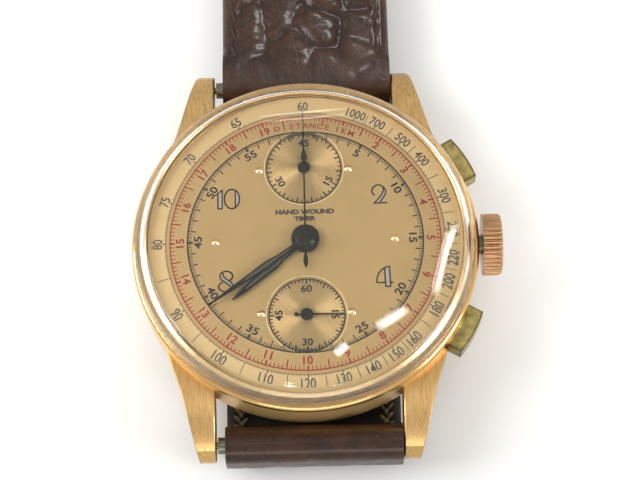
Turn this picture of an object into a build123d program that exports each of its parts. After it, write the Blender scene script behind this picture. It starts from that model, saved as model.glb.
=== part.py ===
"""Manual chronograph wristwatch on a leather strap, built piece by piece, in millimetres.

Frame: origin on the hand axis at the flat underside of the folded strap half, +Z out
through the crystal, +Y towards 12 o'clock, +X towards 3 o'clock and the crown.
Heights below are counted from the outer face of the case back, and every piece is
lifted by CASE_LIFT when it is written.
"""

import math
import os

from build123d import *

CASE_LIFT = 4.0
LUG_ROUND = 0.18

# ---- case shell
CASE_R = 18.58
CASE_BOTTOM_Z = 1.3
CASE_TOP_Z = 6.0
NECK_R = 17.42
NECK_TOP_Z = 7.5
BORE_R = 16.6
BACK_BORE_R = 17.02
BACK_R = 17.9
BACK_FLAT_R = 16.2
BACK_SHEET = 0.8
BEZEL_R = 18.75
BEZEL_TOP_Z = 6.95
CRYSTAL_R = 18.25
CRYSTAL_WALL = 0.8
CRYSTAL_TOP_Z = 11.1
CRYSTAL_SHOULDER_Z = 8.2
RING_INNER_R = 17.1

# ---- lugs and spring bars
LUG_GAP = 20.0
LUG_TIP_Y = 22.5
LUG_TIP_WIDTH = 1.8
LUG_TOP_Z = 4.7
BAR_Y = 20.85
BAR_Z = 1.45
BAR_R = 0.9
BAR_BORE_R = 0.62
BAR_HALF = 9.8
TIP_R = 0.38
TIP_SHOULDER_R = 0.58
LUG_HOLE_R = 0.45
LUG_HOLE_DEPTH = 1.0
TIP_END_X = 10.8

# ---- crown and pushers
STEM_Z = 5.0
CROWN_R = 3.35
CROWN_IN_X = 19.1
CROWN_OUT_X = 21.2
CROWN_FLUTES = 40
STEM_R = 0.45
TUBE_R = 1.0
TUBE_BORE_R = 0.6
PUSHER_ANGLE = 30.0
PUSHER_Z = 4.7
PUSHER_WIDTH = 5.1
PUSHER_HEIGHT = 2.0
PUSHER_IN_R = 17.95
PUSHER_OUT_R = 20.5
PUSHER_POCKET_R = 17.05
PUSHER_CLEAR = 0.1

# ---- dial and hands
DIAL_R = 17.0
DIAL_FLAT_R = 12.75
DIAL_DROP = 0.5
DIAL_Z = 7.0
DIAL_THICK = 0.4
SUB_Y = 8.4
SUB_R = 4.25
SUB_DEPTH = 0.18
HOUR_Z = 7.66
MINUTE_Z = 7.88
CHRONO_Z = 8.1
SUB_HAND_Z = 7.46
HAND_THICK = 0.14
HOUR_ANGLE = 229.6
MINUTE_ANGLE = 235.0
SECONDS_ANGLE = 90.0

# ---- movement levels
PLATE_R = 14.1
PLATE_Z0 = 4.1
PLATE_Z1 = 6.3
BRIDGE_Z0 = 1.8
BRIDGE_Z1 = 2.6
CHRONO_LAYER_Z = 1.15

# ---- going train: tooth counts and modules
CENTRE_TEETH = 64
CENTRE_MODULE = 0.14
THIRD_TEETH = 60
THIRD_MODULE = 0.115
FOURTH_TEETH = 80
FOURTH_MODULE = 0.088
PINION_LEAVES = 8
BARREL_TEETH = 66
BARREL_MODULE = 0.17
CENTRE_PINION_LEAVES = 10
CANNON_TEETH = 12
MINUTE_WHEEL_TEETH = 36
MOTION_MODULE = 0.12
MINUTE_PINION_TEETH = 10
HOUR_WHEEL_TEETH = 40
ESCAPE_TEETH = 15
ESCAPE_R = 2.4
BALANCE_R = 4.3

# ---- strap
STRAP_SHIFT = 0.45
STRAP_WIDTH = 18.9
STRAP_END_WIDTH = 16.0
STRAP_THICK = 3.2
STRAP_END_THICK = 2.4
KNUCKLE_R = 2.03
ROOT_THICK = 3.3
UPPER_LENGTH = 74.0
LOWER_LENGTH = 106.0
UPPER_FLEX = 12.0
FOLD_Z = -2.4
FLEX_GAP = 0.15
BUCKLE_BAR_R = 0.75
BUCKLE_BORE_CLEAR = 0.06
HOLE_COUNT = 7
HOLE_PITCH = 6.5


def clock(angle, radius):
    """Point on the dial at a clockwise angle from 12 o'clock."""
    a = math.radians(angle)
    return radius * math.sin(a), radius * math.cos(a)


CENTRE_A = (CENTRE_TEETH + PINION_LEAVES) * CENTRE_MODULE / 2
THIRD_A = (THIRD_TEETH + PINION_LEAVES) * THIRD_MODULE / 2
FOURTH_A = (FOURTH_TEETH + PINION_LEAVES) * FOURTH_MODULE / 2
BARREL_A = (BARREL_TEETH + CENTRE_PINION_LEAVES) * BARREL_MODULE / 2
MOTION_A = (CANNON_TEETH + MINUTE_WHEEL_TEETH) * MOTION_MODULE / 2
HOUR_MODULE = 2 * MOTION_A / (MINUTE_PINION_TEETH + HOUR_WHEEL_TEETH)

THIRD_Y = -(CENTRE_A**2 + SUB_Y**2 - THIRD_A**2) / (2 * SUB_Y)
THIRD_AT = (math.sqrt(CENTRE_A**2 - THIRD_Y**2), THIRD_Y)
FOURTH_AT = (0.0, -SUB_Y)
COUNTER_AT = (0.0, SUB_Y)
BARREL_AT = clock(52, BARREL_A)
ESCAPE_ANGLE = 250.0
ESCAPE_AT = (
    FOURTH_AT[0] + clock(ESCAPE_ANGLE, FOURTH_A)[0],
    FOURTH_AT[1] + clock(ESCAPE_ANGLE, FOURTH_A)[1],
)
BALANCE_AT = (-8.2, -3.6)
PALLET_SHARE = 0.42
PALLET_AT = (
    ESCAPE_AT[0] + (BALANCE_AT[0] - ESCAPE_AT[0]) * PALLET_SHARE,
    ESCAPE_AT[1] + (BALANCE_AT[1] - ESCAPE_AT[1]) * PALLET_SHARE,
)
MINUTE_WHEEL_AT = clock(300, MOTION_A)
RATCHET_TEETH = 52
CROWN_WHEEL_TEETH = 36
WIND_MODULE = 0.1
WIND_A = (RATCHET_TEETH + CROWN_WHEEL_TEETH) * WIND_MODULE / 2
CROWN_WHEEL_AT = (
    BARREL_AT[0] + clock(112, WIND_A)[0],
    BARREL_AT[1] + clock(112, WIND_A)[1],
)
COLUMN_AT = (-6.3, 6.3)
HAMMER_AT = (7.6, -6.6)


def disc(radius, z0, z1, at=(0.0, 0.0), hole=0.0):
    """Round plate or tube between two heights."""
    body = extrude(Pos(at[0], at[1], z0) * Circle(radius), z1 - z0)
    if hole:
        body -= extrude(Pos(at[0], at[1], z0 - 1) * Circle(hole), z1 - z0 + 2)
    return body


def turned(points):
    """Body of revolution about the hand axis from an (r, z) outline."""
    return revolve(Plane.XZ * Polygon(*points, align=None), Axis.Z)


def bar_x(radius, x0, x1, y=0.0, z=0.0):
    """Round bar along X."""
    return extrude(Plane((x0, y, z), x_dir=(0, 1, 0), z_dir=(1, 0, 0)) * Circle(radius), x1 - x0)


def block(x0, x1, y0, y1, z0, z1):
    """Rectangular block between corners."""
    size = Box(x1 - x0, y1 - y0, z1 - z0)
    return Pos((x0 + x1) / 2, (y0 + y1) / 2, (z0 + z1) / 2) * size


def prism_x(outline, x0, x1):
    """Prism along X from a (y, z) outline."""
    section = Plane((x0, 0, 0), x_dir=(0, 1, 0), z_dir=(1, 0, 0)) * Polygon(*outline, align=None)
    return extrude(section, x1 - x0, dir=(1, 0, 0))


def plate_shape(outline, z0, z1):
    """Flat plate from an (x, y) outline."""
    return extrude(Pos(0, 0, z0) * Polygon(*outline, align=None), z1 - z0, dir=(0, 0, 1))


def gear(teeth, module, z0, z1, at=(0.0, 0.0), phase=0.0, slim=0.0):
    """Spur gear; phase is the angle of one tooth's middle, counter-clockwise from +X."""
    pitch = teeth * module / 2
    tip = pitch + 0.85 * module
    root = pitch - 1.15 * module
    step = 2 * math.pi / teeth
    outline = []
    for i in range(teeth):
        mid = math.radians(phase) + i * step
        for radius, share in ((root, -0.30), (tip, -0.11 + slim), (tip, 0.11 - slim), (root, 0.30)):
            a = mid + share * step
            outline.append((at[0] + radius * math.cos(a), at[1] + radius * math.sin(a)))
    return plate_shape(outline, z0, z1)


def heading(a, b):
    """Angle in degrees from point a to point b, counter-clockwise from +X."""
    return math.degrees(math.atan2(b[1] - a[1], b[0] - a[0]))


def mate_phase(a, b, teeth_a, phase_a, teeth_b):
    """Phase of gear b that puts a gap of b opposite each tooth of a."""
    line = heading(a, b)
    along = (line - phase_a) / (360.0 / teeth_a)
    share = along - math.floor(along)
    return line + 180.0 + (share + 0.5) * 360.0 / teeth_b


def spoked(teeth, module, z0, z1, at, phase, hub, spokes=4, spoke_width=0.5):
    """Train wheel: toothed rim, hub and straight spokes."""
    wheel = gear(teeth, module, z0, z1, at, phase)
    rim = teeth * module / 2 - 1.15 * module - 0.35
    window = disc(rim, z0 - 0.1, z1 + 0.1, at, hub)
    for i in range(spokes):
        arm = Box(rim * 2, spoke_width, z1 - z0 + 1)
        if i < spokes / 2:
            window -= Pos(at[0], at[1], (z0 + z1) / 2) * Rot(0, 0, i * 360.0 / spokes + phase) * arm
    return wheel - window


def pusher_place(angle):
    """Frame on the pusher axis, X pointing outwards."""
    return Rot(0, 0, angle) * Pos(0, 0, PUSHER_Z)


# ---- case -------------------------------------------------------------------

def make_lug(side_x, side_y):
    """One long straight lug with a drooping back and a chamfered tip."""
    half = LUG_GAP / 2
    tip = half + LUG_TIP_WIDTH
    plan = [
        Line((half, 9.0), (half, LUG_TIP_Y)),
        Line((half, LUG_TIP_Y), (tip, LUG_TIP_Y)),
        Spline((tip, LUG_TIP_Y), (12.85, 18.6), (13.7, 15.3), (14.8, 12.0), (15.7, 9.0)),
        Line((15.7, 9.0), (half, 9.0)),
    ]
    side = [
        Line((9.0, 2.6), (9.0, LUG_TOP_Z)),
        Line((9.0, LUG_TOP_Z), (15.0, LUG_TOP_Z)),
        Spline((15.0, LUG_TOP_Z), (17.4, 4.5), (19.4, 3.95), (21.7, 2.65)),
        Line((21.7, 2.65), (LUG_TIP_Y, 1.5)),
        Line((LUG_TIP_Y, 1.5), (LUG_TIP_Y, 0.6)),
        Line((LUG_TIP_Y, 0.6), (21.4, -0.1)),
        Spline((21.4, -0.1), (18.6, 0.5), (15.0, 1.9)),
        Line((15.0, 1.9), (9.0, 2.6)),
    ]
    side_plane = Plane((half, 0, 0), x_dir=(0, 1, 0), z_dir=(1, 0, 0))
    lug = extrude(side_plane * make_face(Curve() + side), 7.0, dir=(1, 0, 0))
    lug &= extrude(Pos(0, 0, -1) * make_face(Curve() + plan), 8.0, dir=(0, 0, 1))
    inner = [e for e in lug.edges() if abs(e.center().X - half) < 0.01]
    top = [e for e in inner if e.center().Z > 2.0 and e.center().Y > 12.5]
    lug = fillet(top, LUG_ROUND)
    lug -= bar_x(LUG_HOLE_R, half - 1, half + LUG_HOLE_DEPTH, BAR_Y, BAR_Z)
    if side_x < 0:
        lug = mirror(lug, Plane.YZ)
    if side_y < 0:
        lug = mirror(lug, Plane.XZ)
    return lug


def make_case_middle():
    """Case band with dial seat, bezel neck, lugs, stem hole and pusher pockets."""
    body = turned([
        (BACK_BORE_R, CASE_BOTTOM_Z),
        (BACK_R, CASE_BOTTOM_Z),
        (BACK_R + 0.4, CASE_BOTTOM_Z + 0.15),
        (CASE_R, CASE_BOTTOM_Z + 0.5),
        (CASE_R, CASE_TOP_Z),
        (NECK_R, CASE_TOP_Z),
        (NECK_R, NECK_TOP_Z),
        (DIAL_R + 0.08, NECK_TOP_Z),
        (DIAL_R + 0.08, DIAL_Z - DIAL_DROP),
        (BORE_R, DIAL_Z - DIAL_DROP),
        (BORE_R, 3.7),
        (15.9, 3.7),
        (15.9, 3.3),
        (BACK_BORE_R, 3.3),
    ])
    inside = disc(BACK_BORE_R + 0.2, -1, 9) + disc(BACK_R + 0.05, -1, CASE_BOTTOM_Z)
    for side_x in (-1, 1):
        for side_y in (-1, 1):
            body += make_lug(side_x, side_y) - inside
    body -= bar_x(TUBE_R, 16.0, 19.0, 0, STEM_Z)
    for angle in (-PUSHER_ANGLE, PUSHER_ANGLE):
        wide = PUSHER_WIDTH + 2 * PUSHER_CLEAR
        tall = PUSHER_HEIGHT + 2 * PUSHER_CLEAR
        pocket = Pos((PUSHER_POCKET_R + 20) / 2, 0, 0) * Box(20 - PUSHER_POCKET_R, wide, tall)
        body -= pusher_place(angle) * pocket
        body -= pusher_place(angle) * bar_x(0.85, 16.0, 18.0)
    return body


def make_bezel():
    """Slim polished bezel that grips the crystal wall on the case shoulder."""
    seat = CRYSTAL_R + 0.02
    foot = CASE_TOP_Z + 0.02
    outline = [
        Line((seat, foot), (BEZEL_R - 0.12, foot)),
        Line((BEZEL_R - 0.12, foot), (BEZEL_R, foot + 0.2)),
        Line((BEZEL_R, foot + 0.2), (BEZEL_R, 6.5)),
        ThreePointArc((BEZEL_R, 6.5), (18.66, 6.79), (18.43, BEZEL_TOP_Z)),
        Line((18.43, BEZEL_TOP_Z), (seat, BEZEL_TOP_Z)),
        Line((seat, BEZEL_TOP_Z), (seat, foot)),
    ]
    return revolve(make_face(Plane.XZ * (Curve() + outline)), Axis.Z)


def dome_height(r, top, edge_r, edge_z):
    """Height of a spherical dome at radius r, from its top and one edge point."""
    drop = top - edge_z
    ball = (edge_r**2 + drop**2) / (2 * drop)
    return top - ball + math.sqrt(ball**2 - r**2)


def make_crystal():
    """Tall domed acrylic crystal with an upright wall and a rounded shoulder."""
    wall_in = CRYSTAL_R - CRYSTAL_WALL
    z0 = CASE_TOP_Z + 0.02
    shoulder = CRYSTAL_SHOULDER_Z
    top = CRYSTAL_TOP_Z
    under = top - 1.0
    outline = [
        Line((wall_in, z0), (CRYSTAL_R, z0)),
        Line((CRYSTAL_R, z0), (CRYSTAL_R, shoulder)),
        ThreePointArc((CRYSTAL_R, shoulder), (17.9, 9.0), (17.0, 9.38)),
        ThreePointArc((17.0, 9.38), (8.6, dome_height(8.6, top, 17.0, 9.38)), (0, top)),
        Line((0, top), (0, under)),
        ThreePointArc((0, under), (8.4, dome_height(8.4, under, 16.4, 8.45)), (16.4, 8.45)),
        ThreePointArc((16.4, 8.45), (17.15, 8.28), (wall_in, 7.95)),
        Line((wall_in, 7.95), (wall_in, z0)),
    ]
    return revolve(make_face(Plane.XZ * (Curve() + outline)), Axis.Z)


def make_tension_ring():
    """Gilt ring on the case neck, pressed inside the crystal wall."""
    outer = CRYSTAL_R - CRYSTAL_WALL - 0.02
    return turned([
        (RING_INNER_R, NECK_TOP_Z + 0.02),
        (outer, NECK_TOP_Z + 0.02),
        (outer, 7.88),
        (RING_INNER_R + 0.1, 8.0),
        (RING_INNER_R, 7.9),
    ])


def make_case_back():
    """Snap-on back with a flat outer face, a coned flank and a snap rim."""
    return turned([
        (0, 0),
        (BACK_FLAT_R, 0),
        (BACK_R - 0.15, 0.7),
        (BACK_R - 0.05, CASE_BOTTOM_Z - 0.03),
        (BACK_BORE_R - 0.04, CASE_BOTTOM_Z - 0.03),
        (BACK_BORE_R - 0.04, 3.2),
        (16.4, 3.2),
        (16.2, 1.2),
        (15.4, BACK_SHEET),
        (0, BACK_SHEET),
    ])


def make_movement_ring():
    """Spacer ring between the movement and the case bore."""
    ring = disc(BORE_R - 0.1, 3.75, DIAL_Z - DIAL_DROP - 0.05, hole=PLATE_R + 0.1)
    ring -= bar_x(0.7, 10.0, 18.0, 0, STEM_Z)
    for angle in (-PUSHER_ANGLE, PUSHER_ANGLE):
        ring -= pusher_place(angle) * bar_x(0.75, 10.0, 18.0)
    return ring


# ---- crown, stem and pushers ------------------------------------------------

def make_crown_tube():
    """Steel tube pressed in the case wall for the stem."""
    return bar_x(TUBE_R, 16.9, 19.5, 0, STEM_Z) - bar_x(TUBE_BORE_R, 16.0, 20.0, 0, STEM_Z)


def make_pusher_tubes():
    """Bushes pressed in the pocket floors for the pusher stems."""
    tubes = []
    for angle in (-PUSHER_ANGLE, PUSHER_ANGLE):
        tube = bar_x(0.83, 16.65, 17.04) - bar_x(0.62, 16.0, 18.0)
        tubes.append(pusher_place(angle) * tube)
    return tubes


def make_crown():
    """Fluted crown, hollow on the inside to clear the tube."""
    body = bar_x(CROWN_R, CROWN_IN_X, CROWN_OUT_X, 0, STEM_Z)
    body = fillet(body.edges().group_by(Axis.X)[-1], 0.5)
    for i in range(CROWN_FLUTES):
        a = 360.0 * i / CROWN_FLUTES
        groove = Pos(20.0, 0, CROWN_R + 0.02) * Rot(0, 90, 0) * Cylinder(0.22, 3.0)
        body -= Pos(0, 0, STEM_Z) * Rot(a, 0, 0) * groove
    body -= bar_x(1.25, CROWN_IN_X - 1, 20.6, 0, STEM_Z)
    return body


def make_winding_stem():
    """Stepped winding stem from the crown to the clutch."""
    stem = bar_x(STEM_R, 9.0, 20.59, 0, STEM_Z)
    stem += bar_x(0.3, 7.4, 9.0, 0, STEM_Z)
    stem += bar_x(1.1, 20.2, 20.59, 0, STEM_Z)
    return stem


def make_winding_pinion():
    """Winding pinion that turns around the stem."""
    wheel = Pos(11.9, 0, STEM_Z) * Rot(0, 90, 0) * gear(14, 0.14, -0.5, 0.5)
    return wheel - bar_x(STEM_R + 0.03, 10.0, 14.0, 0, STEM_Z)


def make_sliding_clutch():
    """Sliding clutch next to the winding pinion."""
    body = Pos(10.5, 0, STEM_Z) * Rot(0, 90, 0) * gear(12, 0.15, -0.35, 0.35)
    body += bar_x(0.62, 9.7, 10.2, 0, STEM_Z)
    body += bar_x(0.9, 9.3, 9.7, 0, STEM_Z)
    return body - bar_x(STEM_R + 0.03, 8.0, 12.0, 0, STEM_Z)


def make_pusher(angle):
    """Rectangular chronograph pusher with a curved outer face and a round stem."""
    length = PUSHER_OUT_R - PUSHER_IN_R
    middle = (PUSHER_OUT_R + PUSHER_IN_R) / 2
    block_part = Pos(middle, 0, 0) * Box(length, PUSHER_WIDTH, PUSHER_HEIGHT)
    block_part &= Pos(PUSHER_OUT_R - 14.0, 0, 0) * Cylinder(14.0, 8.0)
    stem = bar_x(0.55, 13.2, PUSHER_IN_R + 0.1)
    return pusher_place(angle) * (block_part + stem)


# ---- dial and hands ---------------------------------------------------------

def make_dial():
    """Dial plate with a sloping outer zone, two recessed counters and arbor holes."""
    plate = turned([
        (0.85, DIAL_Z),
        (DIAL_FLAT_R, DIAL_Z),
        (DIAL_R, DIAL_Z - DIAL_DROP),
        (DIAL_R, DIAL_Z - DIAL_DROP + DIAL_THICK),
        (DIAL_FLAT_R, DIAL_Z + DIAL_THICK),
        (0.85, DIAL_Z + DIAL_THICK),
    ])
    for y in (-SUB_Y, SUB_Y):
        plate -= disc(SUB_R, DIAL_Z + DIAL_THICK - SUB_DEPTH, DIAL_Z + 1, (0, y))
        plate -= disc(0.3, DIAL_Z - 1, DIAL_Z + 1, (0, y))
    return plate


def make_dial_markers():
    """Small faceted hour dots: one at 3, one at 9, a pair beside each counter."""
    dots = []
    top = DIAL_Z + DIAL_THICK
    places = [(9.6, 0), (-9.6, 0), (4.8, 8.2), (-4.8, 8.2), (4.8, -8.2), (-4.8, -8.2)]
    for x, y in places:
        dots.append(Pos(x, y, top + 0.12) * Cone(0.42, 0.12, 0.22))
    return dots


def make_hand(outline, z, angle, hub, bore, at=(0.0, 0.0)):
    """Flat steel hand drawn pointing to 12 o'clock, then turned clockwise."""
    blade = plate_shape(outline, z, z + HAND_THICK)
    blade += disc(hub, z, z + HAND_THICK)
    if bore:
        blade -= disc(bore, z - 1, z + 1)
    return Pos(at[0], at[1], 0) * Rot(0, 0, -angle) * blade


def mirrored(right):
    """Close a hand outline from its right-hand edge."""
    return right + [(-x, y) for x, y in reversed(right)]


def make_hour_hand():
    """Hour hand: slim baton that swells before its long point."""
    right = [(0.3, 1.0), (0.28, 3.2), (0.5, 4.5), (0.42, 5.5), (0.3, 8.6), (0.07, 10.3)]
    return make_hand(mirrored(right), HOUR_Z, HOUR_ANGLE, 1.5, 0.76)


def make_minute_hand():
    """Minute hand: long slim baton that swells before its point."""
    right = [(0.25, 1.0), (0.25, 3.6), (0.4, 4.9), (0.28, 8.0), (0.06, 12.7)]
    return make_hand(mirrored(right), MINUTE_Z, MINUTE_ANGLE, 1.45, 0.52)


def make_chrono_hand():
    """Centre chronograph hand: needle with a leaf counterweight and a domed cap."""
    right = [(0.05, -3.4), (0.27, -2.8), (0.2, -2.2), (0.1, -1.7), (0.11, 0), (0.04, 14.7)]
    hand = make_hand(mirrored(right), CHRONO_Z, 0, 1.5, 0)
    cap = Pos(0, 0, CHRONO_Z + HAND_THICK + 0.15) * Cone(1.1, 0.75, 0.3)
    return hand + cap


def make_seconds_hand():
    """Running seconds hand with a round tail."""
    right = [(0.1, -1.35), (0.2, -1.2), (0.2, -1.0), (0.08, -0.8), (0.09, 0), (0.04, 3.9)]
    return make_hand(mirrored(right), SUB_HAND_Z, SECONDS_ANGLE, 0.67, 0, FOURTH_AT)


def make_counter_hand():
    """Minute counter hand with a broad spade base."""
    right = [(0.06, 0.5), (0.33, 1.1), (0.2, 1.7), (0.08, 2.2), (0.04, 3.6)]
    return make_hand(mirrored(right), SUB_HAND_Z, 0, 0.67, 0, COUNTER_AT)


# ---- movement ---------------------------------------------------------------

def make_main_plate():
    """Main plate with stem channel, keyless window and arbor holes."""
    plate = disc(PLATE_R, PLATE_Z0, PLATE_Z1, hole=0.75)
    plate -= bar_x(0.6, 7.2, 15.0, 0, STEM_Z)
    plate -= block(9.1, 12.6, -1.35, 1.35, PLATE_Z0 - 1, PLATE_Z1 + 1)
    for angle in (-PUSHER_ANGLE, PUSHER_ANGLE):
        plate -= pusher_place(angle) * bar_x(0.75, 12.2, 15.0)
    for at in (FOURTH_AT, COUNTER_AT):
        plate -= disc(0.32, PLATE_Z0 - 1, PLATE_Z1 + 1, at)
    for at in (THIRD_AT, ESCAPE_AT, PALLET_AT, BALANCE_AT, BARREL_AT):
        plate -= disc(0.24, PLATE_Z0 - 1, PLATE_Z0 + 0.6, at)
    plate -= disc(0.24, PLATE_Z1 - 0.6, PLATE_Z1 + 1, MINUTE_WHEEL_AT)
    return plate


def bridge(outline, holes, posts):
    """Bridge with arbor holes, and feet that reach up to the main plate."""
    body = plate_shape(outline, BRIDGE_Z0, BRIDGE_Z1)
    body &= disc(PLATE_R - 0.1, 0, 9)
    for at in posts:
        body += disc(0.9, BRIDGE_Z0, PLATE_Z0 - 0.01, at)
    for at, radius in holes:
        body -= disc(radius, 0, 4, at)
    return body


def make_barrel_bridge():
    """Bridge over the barrel, the centre wheel and the winding wheels."""
    outline = [(-3.2, -1.6), (13.8, -1.6), (13.8, 13.8), (-3.2, 13.8)]
    holes = [((0, 0), 0.32), (BARREL_AT, 0.6), (COUNTER_AT, 0.32)]
    posts = [(-2.2, 12.2), (12.4, 3.4), (-2.2, 5.6)]
    return bridge(outline, holes, posts)


def make_train_bridge():
    """Bridge over the third, fourth and escape wheels."""
    outline = [(-5.2, -13.8), (6.0, -13.8), (6.0, -1.9), (-0.6, -1.9), (-3.2, -7.4), (-5.2, -7.8)]
    holes = [(THIRD_AT, 0.24), (FOURTH_AT, 0.32), (ESCAPE_AT, 0.24)]
    posts = [(-1.6, -12.7), (4.9, -10.9)]
    return bridge(outline, holes, posts)


def make_balance_cock():
    """Cock over the balance with one foot at the plate edge."""
    outline = [(-13.8, -0.9), (-13.0, 3.6), (-8.6, 3.6), (-6.6, -3.0), (-7.4, -5.0), (-9.4, -4.8)]
    return bridge(outline, [(BALANCE_AT, 0.24)], [(-11.4, 2.4)])


def make_barrel():
    """Going barrel: toothed drum with a lid and an arbor hole."""
    drum = gear(BARREL_TEETH, BARREL_MODULE, 2.75, 3.05, BARREL_AT, heading(BARREL_AT, (0, 0)))
    drum += disc(5.2, 2.75, 3.7, BARREL_AT)
    drum -= disc(4.9, 2.9, 3.55, BARREL_AT)
    return drum - disc(0.62, 0, 5, BARREL_AT)


def make_mainspring():
    """Coiled mainspring seen as its wound turns inside the barrel."""
    turns = 6
    inner = 1.3
    pitch = 0.52
    spring = disc(inner + 0.2, 2.95, 3.5, BARREL_AT, inner)
    for i in range(turns):
        r0 = inner + pitch * (i + 1)
        spring += disc(r0 + 0.2, 2.95, 3.5, BARREL_AT, r0)
        arm_at = BARREL_AT[0] + (r0 - 0.26) * (1 if i % 2 else -1)
        spring += Pos(arm_at, BARREL_AT[1], 3.225) * Box(0.66, 0.3, 0.55)
    return spring


def make_ratchet_wheel():
    """Ratchet wheel with the barrel arbor it turns."""
    wheel = gear(RATCHET_TEETH, WIND_MODULE, 1.5, 1.7, BARREL_AT, heading(BARREL_AT, CROWN_WHEEL_AT))
    arbor = disc(0.55, 1.5, 3.9, BARREL_AT)
    core = disc(1.1, 2.95, 3.5, BARREL_AT)
    pivot = disc(0.2, 3.9, 4.5, BARREL_AT)
    return wheel + arbor + core + pivot


def make_crown_wheel():
    """Crown wheel that takes the crown's turn to the ratchet wheel."""
    first = heading(BARREL_AT, CROWN_WHEEL_AT)
    phase = mate_phase(BARREL_AT, CROWN_WHEEL_AT, RATCHET_TEETH, first, CROWN_WHEEL_TEETH)
    wheel = gear(CROWN_WHEEL_TEETH, WIND_MODULE, 1.5, 1.7, CROWN_WHEEL_AT, phase)
    return wheel + disc(0.7, 1.38, 1.5, CROWN_WHEEL_AT)


def make_centre_wheel():
    """Centre wheel with its pinion and hollow arbor."""
    wheel = spoked(CENTRE_TEETH, CENTRE_MODULE, 3.8, 4.0, (0, 0), 0.0, 0.9)
    phase = mate_phase(BARREL_AT, (0, 0), BARREL_TEETH, heading(BARREL_AT, (0, 0)), CENTRE_PINION_LEAVES)
    pinion = gear(CENTRE_PINION_LEAVES, BARREL_MODULE, 2.7, 3.85, (0, 0), phase)
    arbor = disc(0.25, 1.9, 7.4)
    return (wheel + pinion + arbor) - disc(0.16, 0, 9)


def make_third_wheel():
    """Third wheel and pinion."""
    phase = mate_phase((0, 0), THIRD_AT, CENTRE_TEETH, 0.0, PINION_LEAVES)
    pinion = gear(PINION_LEAVES, CENTRE_MODULE, 3.75, 4.03, THIRD_AT, phase)
    wheel = spoked(THIRD_TEETH, THIRD_MODULE, 3.0, 3.2, THIRD_AT, phase, 0.8)
    arbor = disc(0.2, 1.9, 4.6, THIRD_AT)
    return pinion + wheel + arbor


def make_fourth_wheel():
    """Fourth wheel and pinion; its long arbor carries the running seconds hand."""
    first = mate_phase((0, 0), THIRD_AT, CENTRE_TEETH, 0.0, PINION_LEAVES)
    phase = mate_phase(THIRD_AT, FOURTH_AT, THIRD_TEETH, first, PINION_LEAVES)
    pinion = gear(PINION_LEAVES, THIRD_MODULE, 2.9, 3.35, FOURTH_AT, phase)
    wheel = spoked(FOURTH_TEETH, FOURTH_MODULE, 3.45, 3.65, FOURTH_AT, phase, 0.8)
    arbor = disc(0.2, 1.9, SUB_HAND_Z - 0.01, FOURTH_AT)
    return pinion + wheel + arbor


def make_escape_wheel():
    """Escape wheel with fifteen pointed teeth, and its pinion."""
    first = mate_phase((0, 0), THIRD_AT, CENTRE_TEETH, 0.0, PINION_LEAVES)
    second = mate_phase(THIRD_AT, FOURTH_AT, THIRD_TEETH, first, PINION_LEAVES)
    phase = mate_phase(FOURTH_AT, ESCAPE_AT, FOURTH_TEETH, second, PINION_LEAVES)
    outline = []
    for i in range(ESCAPE_TEETH):
        for radius, share in ((1.75, 0.0), (ESCAPE_R, 0.35), (ESCAPE_R, 0.45), (1.75, 0.62)):
            a = 2 * math.pi * (i + share) / ESCAPE_TEETH
            outline.append((ESCAPE_AT[0] + radius * math.cos(a), ESCAPE_AT[1] + radius * math.sin(a)))
    wheel = plate_shape(outline, 3.75, 3.93)
    window = disc(1.4, 3.0, 4.5, ESCAPE_AT, 0.55)
    for i in range(2):
        window -= Pos(ESCAPE_AT[0], ESCAPE_AT[1], 3.8) * Rot(0, 0, 90 * i) * Box(3.0, 0.35, 2.0)
    pinion = gear(PINION_LEAVES, FOURTH_MODULE, 3.38, 3.74, ESCAPE_AT, phase)
    arbor = disc(0.16, 1.9, 4.6, ESCAPE_AT)
    return (wheel - window) + pinion + arbor


def make_pallet_fork():
    """Lever with two pallet arms and a slotted fork end."""
    line = heading(PALLET_AT, BALANCE_AT)
    lever = Pos(1.7, 0, 0) * Box(3.4, 0.3, 0.18)
    for side in (-1, 1):
        lever += Pos(3.55, side * 0.28, 0) * Box(0.5, 0.2, 0.18)
        lever += Pos(-0.35, side * 0.75, 0) * Rot(0, 0, side * 25) * Box(0.3, 1.5, 0.18)
    lever += Pos(3.3, 0, 0) * Box(0.2, 0.7, 0.18)
    lever += Cylinder(0.4, 0.18)
    lever += Pos(0, 0, 0.1) * Cylinder(0.12, 0.9)
    return Pos(PALLET_AT[0], PALLET_AT[1], 3.84) * Rot(0, 0, line) * lever


def make_balance_wheel():
    """Balance: rim with timing screws, two arms, staff and roller."""
    wheel = disc(BALANCE_R - 0.3, 3.15, 3.5, BALANCE_AT, BALANCE_R - 0.75)
    wheel += Pos(BALANCE_AT[0], BALANCE_AT[1], 3.32) * Box(2 * BALANCE_R - 1.1, 0.5, 0.2)
    wheel += disc(0.6, 3.1, 3.5, BALANCE_AT)
    wheel += disc(0.45, 3.5, 3.68, BALANCE_AT)
    wheel += disc(0.15, 2.0, 4.6, BALANCE_AT)
    for i in range(12):
        head = Pos(BALANCE_R - 0.17, 0, 3.32) * Rot(0, 90, 0) * Cylinder(0.14, 0.3)
        wheel += Pos(BALANCE_AT[0], BALANCE_AT[1], 0) * Rot(0, 0, 15 + 30 * i) * head
    return wheel


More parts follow.
